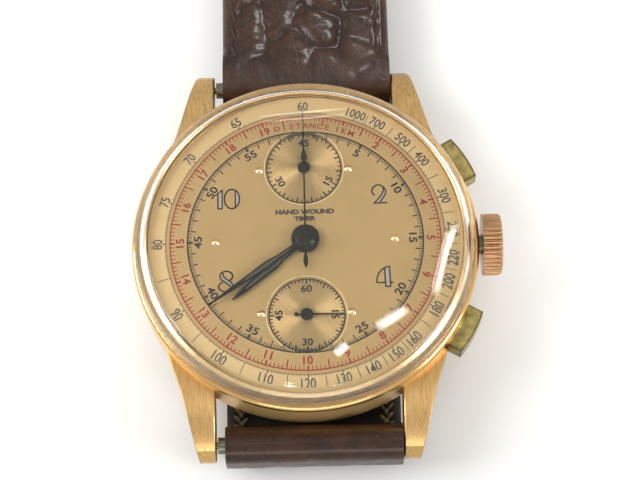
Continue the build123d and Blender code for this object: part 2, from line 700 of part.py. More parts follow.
def make_hairspring():
    """Balance spring: a flat spiral strip from the collet to the stud."""
    points = []
    turns = 5
    for i in range(turns * 20 + 1):
        a = 2 * math.pi * i / 20
        radius = 0.42 + 1.9 * i / (turns * 20)
        points.append((radius, a))
    outer = [(r + 0.05, a) for r, a in points]
    inner = [(r - 0.05, a) for r, a in reversed(points)]
    outline = [(BALANCE_AT[0] + r * math.cos(a), BALANCE_AT[1] + r * math.sin(a)) for r, a in outer + inner]
    return plate_shape(outline, 2.78, 2.92) + disc(0.42, 2.74, 2.94, BALANCE_AT, 0.17)


def make_cannon_pinion():
    """Cannon pinion, a friction fit on the centre arbor, carrying the minute hand."""
    body = gear(CANNON_TEETH, MOTION_MODULE, 6.4, 6.62)
    body += disc(0.5, 6.4, MINUTE_Z + HAND_THICK)
    return body - disc(0.27, 0, 9)


def make_minute_wheel():
    """Minute wheel and pinion of the motion work."""
    phase = mate_phase((0, 0), MINUTE_WHEEL_AT, CANNON_TEETH, 0.0, MINUTE_WHEEL_TEETH)
    wheel = gear(MINUTE_WHEEL_TEETH, MOTION_MODULE, 6.42, 6.58, MINUTE_WHEEL_AT, phase)
    pinion = gear(MINUTE_PINION_TEETH, HOUR_MODULE, 6.58, 6.92, MINUTE_WHEEL_AT, phase)
    return wheel + pinion + disc(0.2, 5.8, 6.42, MINUTE_WHEEL_AT)


def make_hour_wheel():
    """Hour wheel with the pipe that carries the hour hand."""
    first = mate_phase((0, 0), MINUTE_WHEEL_AT, CANNON_TEETH, 0.0, MINUTE_WHEEL_TEETH)
    phase = mate_phase(MINUTE_WHEEL_AT, (0, 0), MINUTE_PINION_TEETH, first, HOUR_WHEEL_TEETH)
    body = gear(HOUR_WHEEL_TEETH, HOUR_MODULE, 6.68, 6.9, (0, 0), phase)
    body += disc(0.74, 6.68, HOUR_Z + HAND_THICK)
    return body - disc(0.53, 0, 9)


def make_chrono_runner():
    """Chronograph runner: wheel, heart cam and the arbor of the centre hand."""
    z = CHRONO_LAYER_Z
    body = gear(100, 0.07, z, z + 0.15)
    body -= disc(2.7, z - 1, z + 1, hole=1.0) - block(-4, 4, -0.2, 0.2, 0, 3) - block(-0.2, 0.2, -4, 4, 0, 3)
    body += Pos(0.35, 0, z + 0.25) * Cylinder(0.7, 0.22)
    body += disc(0.13, z - 0.1, CHRONO_Z - 0.01)
    return body


def make_minute_recorder():
    """Minute recorder wheel under the counter at 12, with its arbor."""
    z = CHRONO_LAYER_Z
    body = gear(45, 0.09, z, z + 0.15, COUNTER_AT)
    body += Pos(COUNTER_AT[0] + 0.3, COUNTER_AT[1], z + 0.25) * Cylinder(0.6, 0.22)
    body += disc(0.2, z - 0.1, SUB_HAND_Z - 0.01, COUNTER_AT)
    return body


def make_column_wheel():
    """Column wheel: ratchet base with six upright columns."""
    z = BRIDGE_Z0
    body = gear(12, 0.28, z + 0.3, z + 0.6, COLUMN_AT)
    body += disc(1.5, z, z + 0.3, COLUMN_AT)
    for i in range(6):
        body += Pos(COLUMN_AT[0], COLUMN_AT[1], 0) * Rot(0, 0, 60 * i) * block(0.7, 1.4, -0.22, 0.22, 1.0, z)
    return body + disc(0.3, 1.0, 4.0, COLUMN_AT)


def make_reset_hammer():
    """Reset hammer pivoted near the lower pusher, with two flat faces."""
    outline = [(0.9, -0.9), (0.9, 0.9), (-0.2, 1.0), (-3.6, 4.3), (-4.4, 4.3), (-3.4, 2.6), (-0.9, -0.4)]
    placed = [(HAMMER_AT[0] + x, HAMMER_AT[1] + y) for x, y in outline]
    body = plate_shape(placed, 1.35, 1.55)
    return body + disc(0.35, 1.2, 3.9, HAMMER_AT)


def make_movement_screws():
    """Slotted bridge screws."""
    screws = []
    for x, y in ((-2.2, 12.2), (12.4, 3.4), (-1.6, -12.7), (4.9, -10.9), (-11.4, 2.4)):
        head = disc(0.7, BRIDGE_Z0 - 0.3, BRIDGE_Z0 - 0.01, (x, y))
        head -= Pos(x, y, BRIDGE_Z0 - 0.3) * Rot(0, 0, 17 * x) * Box(1.6, 0.2, 0.24)
        screws.append(head)
    return screws


def make_jewels():
    """Ruby bearings set proud on the bridges."""
    stones = []
    for at, bore in ((THIRD_AT, 0.24), (FOURTH_AT, 0.24), (ESCAPE_AT, 0.2), (BALANCE_AT, 0.2)):
        stones.append(disc(0.55, BRIDGE_Z0 - 0.12, BRIDGE_Z0 - 0.01, at, bore))
    return stones


# ---- spring bars and strap --------------------------------------------------

def make_bar_tube(side):
    """Outer tube of a spring bar."""
    tube = bar_x(BAR_R, -BAR_HALF, BAR_HALF, side * BAR_Y, BAR_Z)
    return tube - bar_x(BAR_BORE_R, -12, 12, side * BAR_Y, BAR_Z)


def make_bar_tip(side, end):
    """Sprung end pin of a spring bar: shoulder inside the tube, pivot in the lug."""
    tip = bar_x(TIP_SHOULDER_R, 7.6, 9.6, 0, 0) + bar_x(TIP_R, 9.6, TIP_END_X, 0, 0)
    if end < 0:
        tip = mirror(tip, Plane.YZ)
    return Pos(0, side * BAR_Y, BAR_Z) * tip


def strap_span():
    """Left and right edges of the strap at the lugs."""
    return STRAP_SHIFT - STRAP_WIDTH / 2, STRAP_SHIFT + STRAP_WIDTH / 2


def tapered(length, start):
    """Plan of a strap half running along +Y, narrowing to the end width."""
    x0, x1 = strap_span()
    m0 = STRAP_SHIFT - STRAP_END_WIDTH / 2
    m1 = STRAP_SHIFT + STRAP_END_WIDTH / 2
    return [(x0, start), (x0, start + 12), (m0, length), (m1, length), (x1, start + 12), (x1, start)]


def make_strap_upper_root():
    """First part of the 12 o'clock half, looped around its spring bar."""
    x0, x1 = strap_span()
    half = ROOT_THICK / 2
    pivot = BAR_Y + UPPER_FLEX
    body = bar_x(KNUCKLE_R, x0, x1, BAR_Y, BAR_Z)
    outline = [(BAR_Y, BAR_Z - half), (pivot, BAR_Z - half), (pivot, BAR_Z + half), (BAR_Y, BAR_Z + half)]
    body += prism_x(outline, x0, x1)
    body -= bar_x(STRAP_THICK / 2 + FLEX_GAP, x0 - 1, x1 + 1, pivot, BAR_Z)
    return body - bar_x(BAR_R + 0.1, x0 - 1, x1 + 1, BAR_Y, BAR_Z)


def make_strap_upper():
    """Rest of the 12 o'clock half, looped around the buckle bar at its end."""
    x0, x1 = strap_span()
    half = STRAP_THICK / 2
    thin = STRAP_END_THICK / 2
    start = BAR_Y + UPPER_FLEX
    end = BAR_Y + UPPER_LENGTH
    side = [(start, BAR_Z - half), (end, BAR_Z - thin), (end, BAR_Z + thin), (start, BAR_Z + half)]
    body = bar_x(half, x0, x1, start, BAR_Z) + prism_x(side, x0, x1)
    body += bar_x(thin, x0, x1, end, BAR_Z)
    body &= plate_shape(tapered(end + 3, start - 5), -5, 9)
    body -= bar_x(BUCKLE_BAR_R + 0.1, -12, 12, end, BAR_Z)
    return body - block(STRAP_SHIFT - 1.3, STRAP_SHIFT + 1.3, end - 3.2, end + 4, -5, 9)


def make_strap_lower_root():
    """First part of the 6 o'clock half, looped around its bar and hanging down."""
    x0, x1 = strap_span()
    half = ROOT_THICK / 2
    y = -BAR_Y
    stop = FOLD_Z + STRAP_THICK / 2 + FLEX_GAP
    outline = [(y - half, stop), (y + half, stop), (y + half, BAR_Z), (y - half, BAR_Z)]
    body = bar_x(KNUCKLE_R, x0, x1, y, BAR_Z) + prism_x(outline, x0, x1)
    return body - bar_x(BAR_R + 0.1, x0 - 1, x1 + 1, y, BAR_Z)


def make_strap_lower():
    """Long part of the 6 o'clock half, folded flat below the case, with buckle holes."""
    x0, x1 = strap_span()
    half = STRAP_THICK / 2
    start = -BAR_Y
    end = start + LOWER_LENGTH
    floor = FOLD_Z - half
    side = [(start, floor), (end, floor), (end, floor + STRAP_END_THICK), (start, FOLD_Z + half)]
    body = bar_x(half, x0, x1, start, FOLD_Z) + prism_x(side, x0, x1)
    mid = STRAP_SHIFT
    wide = STRAP_END_WIDTH / 2
    plan = [
        (x0, start - 5),
        (x0, start + 12),
        (mid - wide, end - 30),
        (mid - wide, end - 7),
        (mid - 4.5, end - 1.5),
        (mid, end),
        (mid + 4.5, end - 1.5),
        (mid + wide, end - 7),
        (mid + wide, end - 30),
        (x1, start + 12),
        (x1, start - 5),
    ]
    body &= plate_shape(plan, -6, 2)
    for i in range(HOLE_COUNT):
        body -= disc(0.8, -6, 2, (mid, end - 18 - HOLE_PITCH * i))
    return body


def make_keeper(y, width):
    """Leather loop around the strap, tall enough for the second layer."""
    x0 = STRAP_SHIFT - 8.75
    x1 = STRAP_SHIFT + 8.75
    outer = block(x0 - 0.9, x1 + 0.9, y, y + width, BAR_Z - 2.3, BAR_Z + 4.6)
    return outer - block(x0, x1, y - 1, y + width + 1, BAR_Z - 1.5, BAR_Z + 3.8)


def make_buckle_frame():
    """Buckle frame: two arms pierced for the bar and a round cross bar."""
    end = BAR_Y + UPPER_LENGTH
    body = bar_x(1.0, STRAP_SHIFT - 10.2, STRAP_SHIFT + 10.2, end + 9.0, BAR_Z)
    for x0 in (STRAP_SHIFT - 10.2, STRAP_SHIFT + 8.6):
        body += block(x0, x0 + 1.6, end, end + 9.0, BAR_Z - 1.0, BAR_Z + 1.0)
        body += bar_x(1.3, x0, x0 + 1.6, end, BAR_Z)
    return body - bar_x(BUCKLE_BAR_R + BUCKLE_BORE_CLEAR, STRAP_SHIFT - 9.64, STRAP_SHIFT + 9.64, end, BAR_Z)


def make_buckle_bar():
    """Bar through the buckle arms and the strap loop."""
    end = BAR_Y + UPPER_LENGTH
    return bar_x(BUCKLE_BAR_R, STRAP_SHIFT - 9.58, STRAP_SHIFT + 9.58, end, BAR_Z)


def make_buckle_tongue():
    """Tongue hooked on the bar and lying over the cross bar."""
    end = BAR_Y + UPPER_LENGTH
    top = BAR_Z + 1.05
    tongue = bar_x(1.15, STRAP_SHIFT - 0.9, STRAP_SHIFT + 0.9, end, BAR_Z)
    side = [(end, top - 0.2), (end + 9.6, top), (end + 9.6, top + 0.6), (end + 0.4, top + 0.6), (end, top)]
    tongue += prism_x(side, STRAP_SHIFT - 0.8, STRAP_SHIFT + 0.8)
    return tongue - bar_x(BUCKLE_BAR_R + BUCKLE_BORE_CLEAR, -12, 12, end, BAR_Z)


def save(name, shape):
    """Write one piece, or a group of identical separate pieces, as STEP."""
    if isinstance(shape, list):
        shape = Compound(children=shape)
    shape = Pos(0, 0, CASE_LIFT) * shape
    shape.label = name
    export_step(shape, os.path.join("parts", name + ".step"))


def main():
    """Build every piece and write it."""
    os.makedirs("parts", exist_ok=True)
    end = BAR_Y + UPPER_LENGTH
    pieces = {
        "case_middle": make_case_middle(),
        "bezel": make_bezel(),
        "crystal": make_crystal(),
        "tension_ring": make_tension_ring(),
        "case_back": make_case_back(),
        "movement_ring": make_movement_ring(),
        "crown_tube": make_crown_tube(),
        "pusher_tubes": make_pusher_tubes(),
        "crown": make_crown(),
        "winding_stem": make_winding_stem(),
        "winding_pinion": make_winding_pinion(),
        "sliding_clutch": make_sliding_clutch(),
        "start_pusher": make_pusher(PUSHER_ANGLE),
        "reset_pusher": make_pusher(-PUSHER_ANGLE),
        "dial": make_dial(),
        "dial_markers": make_dial_markers(),
        "hour_hand": make_hour_hand(),
        "minute_hand": make_minute_hand(),
        "chrono_hand": make_chrono_hand(),
        "seconds_hand": make_seconds_hand(),
        "counter_hand": make_counter_hand(),
        "main_plate": make_main_plate(),
        "barrel_bridge": make_barrel_bridge(),
        "train_bridge": make_train_bridge(),
        "balance_cock": make_balance_cock(),
        "barrel": make_barrel(),
        "mainspring": make_mainspring(),
        "ratchet_wheel": make_ratchet_wheel(),
        "crown_wheel": make_crown_wheel(),
        "centre_wheel": make_centre_wheel(),
        "third_wheel": make_third_wheel(),
        "fourth_wheel": make_fourth_wheel(),
        "escape_wheel": make_escape_wheel(),
        "pallet_fork": make_pallet_fork(),
        "balance_wheel": make_balance_wheel(),
        "hairspring": make_hairspring(),
        "cannon_pinion": make_cannon_pinion(),
        "minute_wheel": make_minute_wheel(),
        "hour_wheel": make_hour_wheel(),
        "chrono_runner": make_chrono_runner(),
        "minute_recorder": make_minute_recorder(),
        "column_wheel": make_column_wheel(),
        "reset_hammer": make_reset_hammer(),
        "movement_screws": make_movement_screws(),
        "jewels": make_jewels(),
        "spring_bar_upper": make_bar_tube(1),
        "spring_bar_lower": make_bar_tube(-1),
        "bar_tip_upper_left": make_bar_tip(1, -1),
        "bar_tip_upper_right": make_bar_tip(1, 1),
        "bar_tip_lower_left": make_bar_tip(-1, -1),
        "bar_tip_lower_right": make_bar_tip(-1, 1),
        "strap_upper_root": make_strap_upper_root(),
        "strap_upper": make_strap_upper(),
        "strap_lower_root": make_strap_lower_root(),
        "strap_lower": make_strap_lower(),
        "buckle_frame": make_buckle_frame(),
        "buckle_bar": make_buckle_bar(),
        "buckle_tongue": make_buckle_tongue(),
        "fixed_keeper": make_keeper(end - 11.0, 5.0),
        "floating_keeper": make_keeper(end - 24.0, 5.0),
    }
    for name, shape in pieces.items():
        save(name, shape)
        print(name)


main()
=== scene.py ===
"""Looks for the chronograph wristwatch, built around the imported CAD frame.

Sizes are written in millimetres above the case back; MM and LIFT turn them into the frame's metres.
"""
import math

import bpy
import numpy as np
from mathutils import Matrix, Vector


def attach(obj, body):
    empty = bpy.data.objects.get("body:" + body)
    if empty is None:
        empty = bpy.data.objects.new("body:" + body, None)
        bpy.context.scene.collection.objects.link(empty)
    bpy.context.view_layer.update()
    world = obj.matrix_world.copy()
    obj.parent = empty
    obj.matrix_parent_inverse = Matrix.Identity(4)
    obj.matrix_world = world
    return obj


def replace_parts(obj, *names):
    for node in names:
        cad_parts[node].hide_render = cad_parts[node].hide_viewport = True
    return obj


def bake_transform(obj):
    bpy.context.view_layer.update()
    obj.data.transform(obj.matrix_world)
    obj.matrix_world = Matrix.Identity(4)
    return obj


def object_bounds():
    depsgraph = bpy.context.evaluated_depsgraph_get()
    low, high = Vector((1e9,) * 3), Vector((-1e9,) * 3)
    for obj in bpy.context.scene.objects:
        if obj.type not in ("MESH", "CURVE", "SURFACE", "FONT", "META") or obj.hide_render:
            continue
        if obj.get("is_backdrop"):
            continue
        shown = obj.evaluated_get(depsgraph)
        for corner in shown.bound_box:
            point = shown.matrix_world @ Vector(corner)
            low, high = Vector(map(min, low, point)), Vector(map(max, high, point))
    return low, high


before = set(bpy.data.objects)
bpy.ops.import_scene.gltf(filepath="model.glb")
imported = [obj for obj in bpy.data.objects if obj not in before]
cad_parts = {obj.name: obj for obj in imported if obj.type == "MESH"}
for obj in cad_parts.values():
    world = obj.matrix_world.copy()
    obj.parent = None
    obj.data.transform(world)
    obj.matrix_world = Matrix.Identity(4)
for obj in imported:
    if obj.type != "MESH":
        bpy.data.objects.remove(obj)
MM = 0.001
LIFT = 4.0


def save_bounds(tag, bounds, sizes={}):
    sizes[tag] = [[float(v) for v in corner] for corner in bounds]


save_bounds("start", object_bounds())

# ------------------------------------------------------------------ materials

def node(tree, kind, **props):
    """New shader node with its properties set."""
    n = tree.nodes.new(kind)
    for key, value in props.items():
        setattr(n, key, value)
    return n


def link(tree, a, b):
    tree.links.new(a, b)


def noise(tree, coords, scale, detail=4.0, rough=0.55, stretch=None):
    """Noise in object space; stretch = (x, y, z) scale factors."""
    src = coords
    if stretch:
        m = node(tree, "ShaderNodeMapping")
        m.inputs["Scale"].default_value = stretch
        link(tree, coords, m.inputs["Vector"])
        src = m.outputs["Vector"]
    n = node(tree, "ShaderNodeTexNoise")
    n.inputs["Scale"].default_value = scale
    n.inputs["Detail"].default_value = detail
    n.inputs["Roughness"].default_value = rough
    link(tree, src, n.inputs["Vector"])
    return n.outputs["Fac"]


def ramp(tree, value, low, high, out_low, out_high):
    """Maps low..high to out_low..out_high, held at both ends."""
    r = node(tree, "ShaderNodeMapRange")
    r.inputs["From Min"].default_value = low
    r.inputs["From Max"].default_value = high
    r.inputs["To Min"].default_value = out_low
    r.inputs["To Max"].default_value = out_high
    link(tree, value, r.inputs["Value"])
    return r.outputs["Result"]


def mix_color(tree, fac, a, b):
    """Colour between a and b, each a plain colour or a socket."""
    m = node(tree, "ShaderNodeMix", data_type="RGBA")
    if isinstance(fac, float):
        m.inputs[0].default_value = fac
    else:
        link(tree, fac, m.inputs[0])
    for i, c in ((6, a), (7, b)):
        if isinstance(c, tuple):
            m.inputs[i].default_value = (*c, 1.0)
        else:
            link(tree, c, m.inputs[i])
    return m.outputs[2]


def maths(tree, operation, *values):
    """One Math node fed by sockets or plain numbers."""
    m = node(tree, "ShaderNodeMath", operation=operation)
    for socket, value in zip(m.inputs, values):
        if isinstance(value, (int, float)):
            socket.default_value = value
        else:
            link(tree, value, socket)
    return m.outputs[0]


def axis_distance(tree, coords, y=0.0):
    """Distance in metres from the upright line through (0, y)."""
    off = node(tree, "ShaderNodeVectorMath", operation="SUBTRACT")
    off.inputs[1].default_value = (0, y * MM, 0)
    flat = node(tree, "ShaderNodeVectorMath", operation="MULTIPLY")
    flat.inputs[1].default_value = (1, 1, 0)
    size = node(tree, "ShaderNodeVectorMath", operation="LENGTH")
    link(tree, coords, off.inputs[0])
    link(tree, off.outputs[0], flat.inputs[0])
    link(tree, flat.outputs[0], size.inputs[0])
    return size.outputs["Value"]


def bump(tree, height, distance, strength=1.0, under=None):
    """Bumped normal from a height, laid over another normal if one is given."""
    b = node(tree, "ShaderNodeBump")
    b.inputs["Distance"].default_value = distance
    b.inputs["Strength"].default_value = strength
    link(tree, height, b.inputs["Height"])
    if under is not None:
        link(tree, under, b.inputs["Normal"])
    return b.outputs["Normal"]


def new_material(name):
    """Material, its node tree, its main shader and its object coordinates."""
    mat = bpy.data.materials.new(name)
    mat.use_nodes = True
    tree = mat.node_tree
    return mat, tree, tree.nodes["Principled BSDF"], node(tree, "ShaderNodeTexCoord").outputs["Object"]


def metal(name, color, rough=0.25, brushed=None, wear=0.15, bevel=0.06, scratch=0.1, dull=None,
          streaks=0.0, patch=260.0, painted_edge_shade=None):
    """Metal with uneven sheen, grain or brushing, softened edges, scratches and, if asked, painted shade
    darkening its edges.
    """
    mat, tree, bsdf, coords = new_material(name)
    bsdf.inputs["Metallic"].default_value = 1.0
    cloud = noise(tree, coords, patch, 5.0)
    dark = tuple(c * 0.72 for c in color) if dull is None else dull
    tone = mix_color(tree, ramp(tree, cloud, 0.35, 0.75, 0.0, wear), color, dark)
    sheen = ramp(tree, noise(tree, coords, 900.0, 6.0), 0.3, 0.7, rough * 0.8, rough * 1.25)
    if streaks:
        lay = {"x": (0.08, 1, 1), "y": (1, 0.08, 1), "z": (1, 1, 0.08)}[brushed]
        line = noise(tree, coords, 4200.0, 4.0, 0.7, lay)
        shade = tuple(c * 0.55 for c in color)
        tone = mix_color(tree, ramp(tree, line, 0.40, 0.72, 0.0, streaks), tone, shade)
        sheen = ramp(tree, line, 0.3, 0.7, rough * 0.85, rough * 1.4)
    # painted shade: the colour is darkened along every edge, where the wide bevel normal turns away from
    # the true normal
    if painted_edge_shade:
        wide = node(tree, "ShaderNodeBevel", samples=6)
        wide.inputs["Radius"].default_value = 0.5 * MM
        same = node(tree, "ShaderNodeVectorMath", operation="DOT_PRODUCT")
        link(tree, wide.outputs["Normal"], same.inputs[0])
        link(tree, node(tree, "ShaderNodeNewGeometry").outputs["True Normal"], same.inputs[1])
        tone = mix_color(tree, ramp(tree, same.outputs["Value"], 0.88, 0.997, 0.95, 0.0), tone, painted_edge_shade)
    link(tree, tone, bsdf.inputs["Base Color"])
    link(tree, sheen, bsdf.inputs["Roughness"])
    stretch = {None: (1, 1, 1), "x": (0.03, 1, 1), "y": (1, 0.03, 1), "z": (1, 1, 0.03)}[brushed]
    grain = noise(tree, coords, 9000.0 if brushed else 3000.0, 3.0, 0.6, stretch)
    soft = node(tree, "ShaderNodeBevel", samples=6)
    soft.inputs["Radius"].default_value = bevel * MM
    normal = bump(tree, grain, 0.00002, scratch, soft.outputs["Normal"])
    link(tree, normal, bsdf.inputs["Normal"])
    return mat


def flank_polish(mat):
    """Polished band round the case, kept apart from the brushed lugs by its radius and facing."""
    tree = mat.node_tree
    bsdf = tree.nodes["Principled BSDF"]
    coords = node(tree, "ShaderNodeTexCoord").outputs["Object"]
    radius = axis_distance(tree, coords)
    near = ramp(tree, radius, 18.0 * MM, 18.25 * MM, 0.0, 1.0)
    far = ramp(tree, radius, 18.62 * MM, 18.66 * MM, 1.0, 0.0)
    facing = node(tree, "ShaderNodeSeparateXYZ")
    link(tree, node(tree, "ShaderNodeNewGeometry").outputs["True Normal"], facing.inputs[0])
    upright = maths(tree, "ABSOLUTE", facing.outputs["Z"])
    side = ramp(tree, upright, 0.75, 0.9, 1.0, 0.0)
    mask = maths(tree, "MULTIPLY", maths(tree, "MULTIPLY", near, far), side)
    for socket, value in (("Roughness", 0.3), ("Metallic", 0.62)):
        old = bsdf.inputs[socket]
        m = node(tree, "ShaderNodeMix")
        link(tree, mask, m.inputs[0])
        if old.is_linked:
            link(tree, old.links[0].from_socket, m.inputs[2])
        else:
            m.inputs[2].default_value = old.default_value
        m.inputs[3].default_value = value
        link(tree, m.outputs[0], old)
    base = bsdf.inputs["Base Color"].links[0].from_socket
    stain = ramp(tree, noise(tree, coords, 150.0, 2.0), 0.67, 0.71, 0.0, 0.7)
    polished = mix_color(tree, stain, (0.78, 0.54, 0.25), (0.34, 0.19, 0.07))
    link(tree, mix_color(tree, mask, base, polished), bsdf.inputs["Base Color"])


def acrylic():
    """Clear acrylic that lets light through to the dial, frosted round its rim."""
    mat, tree, bsdf, coords = new_material("acrylic")
    bsdf.inputs["Base Color"].default_value = (1, 0.995, 0.98, 1)
    bsdf.inputs["Transmission Weight"].default_value = 1.0
    bsdf.inputs["IOR"].default_value = 1.47
    bsdf.inputs["Specular IOR Level"].default_value = 0.16
    frost = ramp(tree, axis_distance(tree, coords), 17.3 * MM, 17.6 * MM, 0.0, 0.27)
    link(tree, frost, bsdf.inputs["Roughness"])
    normal = bump(tree, noise(tree, coords, 200.0, 2.0), 0.00001, 0.02)
    link(tree, normal, bsdf.inputs["Normal"])
    clear = node(tree, "ShaderNodeBsdfTransparent")
    path = node(tree, "ShaderNodeLightPath")
    mix = node(tree, "ShaderNodeMixShader")
    soft_ray = maths(tree, "MAXIMUM", path.outputs["Is Shadow Ray"], path.outputs["Is Diffuse Ray"])
    link(tree, soft_ray, mix.inputs[0])
    link(tree, bsdf.outputs[0], mix.inputs[1])
    link(tree, clear.outputs[0], mix.inputs[2])
    link(tree, mix.outputs[0], tree.nodes["Material Output"].inputs["Surface"])
    return mat


COUNTER_OFF, COUNTER_R = 8.4, 4.2
GROOVE_PITCH = 0.13


def dial_finish():
    """Matte champagne dial, paler outside the scales; turned rings in the two counters."""
    mat, tree, bsdf, coords = new_material("dial_champagne")
    cloud = noise(tree, coords, 160.0, 6.0, 0.6)
    pale, deep = (0.355, 0.246, 0.103), (0.318, 0.219, 0.089)
    base = mix_color(tree, ramp(tree, cloud, 0.35, 0.7, 0.0, 1.0), pale, deep)
    above = axis_distance(tree, coords, COUNTER_OFF)
    below = axis_distance(tree, coords, -COUNTER_OFF)
    near = maths(tree, "MINIMUM", above, below)
    inside = maths(tree, "LESS_THAN", near, COUNTER_R * MM)
    wave = maths(tree, "MULTIPLY", near, 2 * math.pi / (GROOVE_PITCH * MM))
    grooves = maths(tree, "MULTIPLY", maths(tree, "SINE", wave), inside)
    outer = ramp(tree, axis_distance(tree, coords), 14.95 * MM, 15.1 * MM, 0.0, 1.0)
    zoned = mix_color(tree, outer, base, (0.47, 0.35, 0.175))
    counters = mix_color(tree, inside, zoned, (0.37, 0.262, 0.118))
    link(tree, counters, bsdf.inputs["Base Color"])
    link(tree, ramp(tree, inside, 0, 1, 0.62, 0.42), bsdf.inputs["Roughness"])
    link(tree, ramp(tree, inside, 0, 1, 0.35, 0.65), bsdf.inputs["Metallic"])
    grain = bump(tree, noise(tree, coords, 6000.0, 3.0), 0.00001, 0.25)
    link(tree, bump(tree, grooves, 0.000016, 1.0, grain), bsdf.inputs["Normal"])
    return mat


def ink(name, color, rough=0.5):
    """Printed ink with slight mottling."""
    mat, tree, bsdf, coords = new_material(name)
    faded = tuple(min(1.0, c * 1.35 + 0.004) for c in color)
    blotch = ramp(tree, noise(tree, coords, 1500.0), 0.4, 0.8, 0.0, 0.5)
    link(tree, mix_color(tree, blotch, color, faded), bsdf.inputs["Base Color"])
    bsdf.inputs["Roughness"].default_value = rough
    return mat


def leather(name, base, deep, rough=0.3, pores=0.35, coat=0.3, creases=0.45):
    """Waxed leather with darker creases, pores and a soft gloss."""
    mat, tree, bsdf, coords = new_material(name)
    cloud = noise(tree, coords, 220.0, 6.0, 0.6)
    tone = mix_color(tree, ramp(tree, cloud, 0.35, 0.7, 0.0, 1.0), base, deep)
    scuff = ramp(tree, noise(tree, coords, 2600.0, 6.0, 0.7), 0.52, 0.75, 0.0, 0.6)
    tone = mix_color(tree, scuff, tone, tuple(c * 2.2 for c in base))
    geo = node(tree, "ShaderNodeNewGeometry")
    worn = mix_color(tree, ramp(tree, geo.outputs["Pointiness"], 0.46, 0.52, 0.0, 1.0), deep, tone)
    link(tree, worn, bsdf.inputs["Base Color"])
    sheen = ramp(tree, noise(tree, coords, 700.0), 0.3, 0.7, rough * 0.8, rough * 1.3)
    link(tree, sheen, bsdf.inputs["Roughness"])
    bsdf.inputs["Coat Weight"].default_value = coat
    bsdf.inputs["Coat Roughness"].default_value = 0.13
    bsdf.inputs["Specular IOR Level"].default_value = 0.3
    fine = bump(tree, noise(tree, coords, 4000.0, 5.0), 0.00004, pores)
    folds = noise(tree, coords, 520.0, 6.0, 0.62, (1.0, 0.6, 1.0))
    link(tree, bump(tree, folds, 0.0003, creases, fine), bsdf.inputs["Normal"])
    return mat


def thread(name, color):
    """Twisted sewing thread."""
    mat, tree, bsdf, coords = new_material(name)
    shade = tuple(c * 0.5 for c in color)
    link(tree, mix_color(tree, noise(tree, coords, 3000.0), color, shade), bsdf.inputs["Base Color"])
    bsdf.inputs["Roughness"].default_value = 0.7
    link(tree, bump(tree, noise(tree, coords, 6000.0), 0.00005), bsdf.inputs["Normal"])
    return mat


GOLD = (0.74, 0.50, 0.23)
MATS = {
    "case": metal("gold_brushed", GOLD, 0.3, "y", scratch=0.15, bevel=0.12, streaks=0.8, wear=0.5,
                  dull=(0.48, 0.29, 0.12), patch=170.0),
    "bezel": metal("gold_polished", GOLD, 0.12, None, wear=0.1, bevel=0.1, scratch=0.03),
    "ring": metal("gold_ring", (0.80, 0.60, 0.33), 0.16, None),
    "crown": metal("rose_gold", (0.56, 0.35, 0.20), 0.2, "x", bevel=0.06, wear=0.6,
                   dull=(0.24, 0.15, 0.085), scratch=0.05),
    # the pushers carry painted shade along their edges
    "pusher": metal("aged_gold", (0.57, 0.48, 0.205), 0.30, "z", wear=0.9, bevel=0.1,
                    dull=(0.15, 0.115, 0.04), patch=800.0, painted_edge_shade=(0.07, 0.045, 0.02)),
    "hands": metal("oxidised_steel", (0.022, 0.022, 0.015), 0.38, None, wear=0.5, bevel=0.03),
    "steel": metal("steel", (0.22, 0.23, 0.17), 0.28, "x", wear=0.6, bevel=0.03),
    "steel_flat": metal("steel_flat", (0.5, 0.5, 0.48), 0.22, "y", bevel=0.03),
    "gilt": metal("gilt", (0.78, 0.58, 0.28), 0.24, None, bevel=0.02),
    "nickel": metal("nickel", (0.62, 0.60, 0.56), 0.3, "y", scratch=0.4, bevel=0.05),
    "blue": metal("blued_steel", (0.04, 0.07, 0.25), 0.2, None, bevel=0.01),
    "ruby": ink("ruby", (0.45, 0.01, 0.06), 0.08),
    "dial": dial_finish(),
    "marker": metal("marker_gold", (0.85, 0.62, 0.32), 0.12, None, bevel=0.02),
    "rim": metal("rim_gold", (0.86, 0.70, 0.42), 0.3, None, bevel=0.02),
    "acrylic": acrylic(),
    "black": ink("ink_black", (0.004, 0.004, 0.003)),
    "red": ink("ink_red", (0.20, 0.010, 0.001)),
    "grey": ink("ink_grey", (0.045, 0.046, 0.038)),
    "channel": ink("hand_channel", (0.036, 0.038, 0.028), 0.4),
    "numeral": ink("numeral_fill", (0.25, 0.225, 0.19), 0.7),
    "croc": leather("crocodile", (0.054, 0.021, 0.009), (0.011, 0.005, 0.003), 0.33, 0.6, 0.35, 0.65),
    "lining": leather("lining", (0.034, 0.024, 0.014), (0.012, 0.010, 0.007), 0.6, 0.5, 0.0),
    "edge": leather("strap_edge", (0.016, 0.009, 0.007), (0.006, 0.004, 0.003), 0.4, 0.2, 0.1),
    "stitch": thread("stitch_brown", (0.05, 0.028, 0.018)),
    "tan": thread("stitch_tan", (0.30, 0.25, 0.15)),
}

flank_polish(MATS["case"])

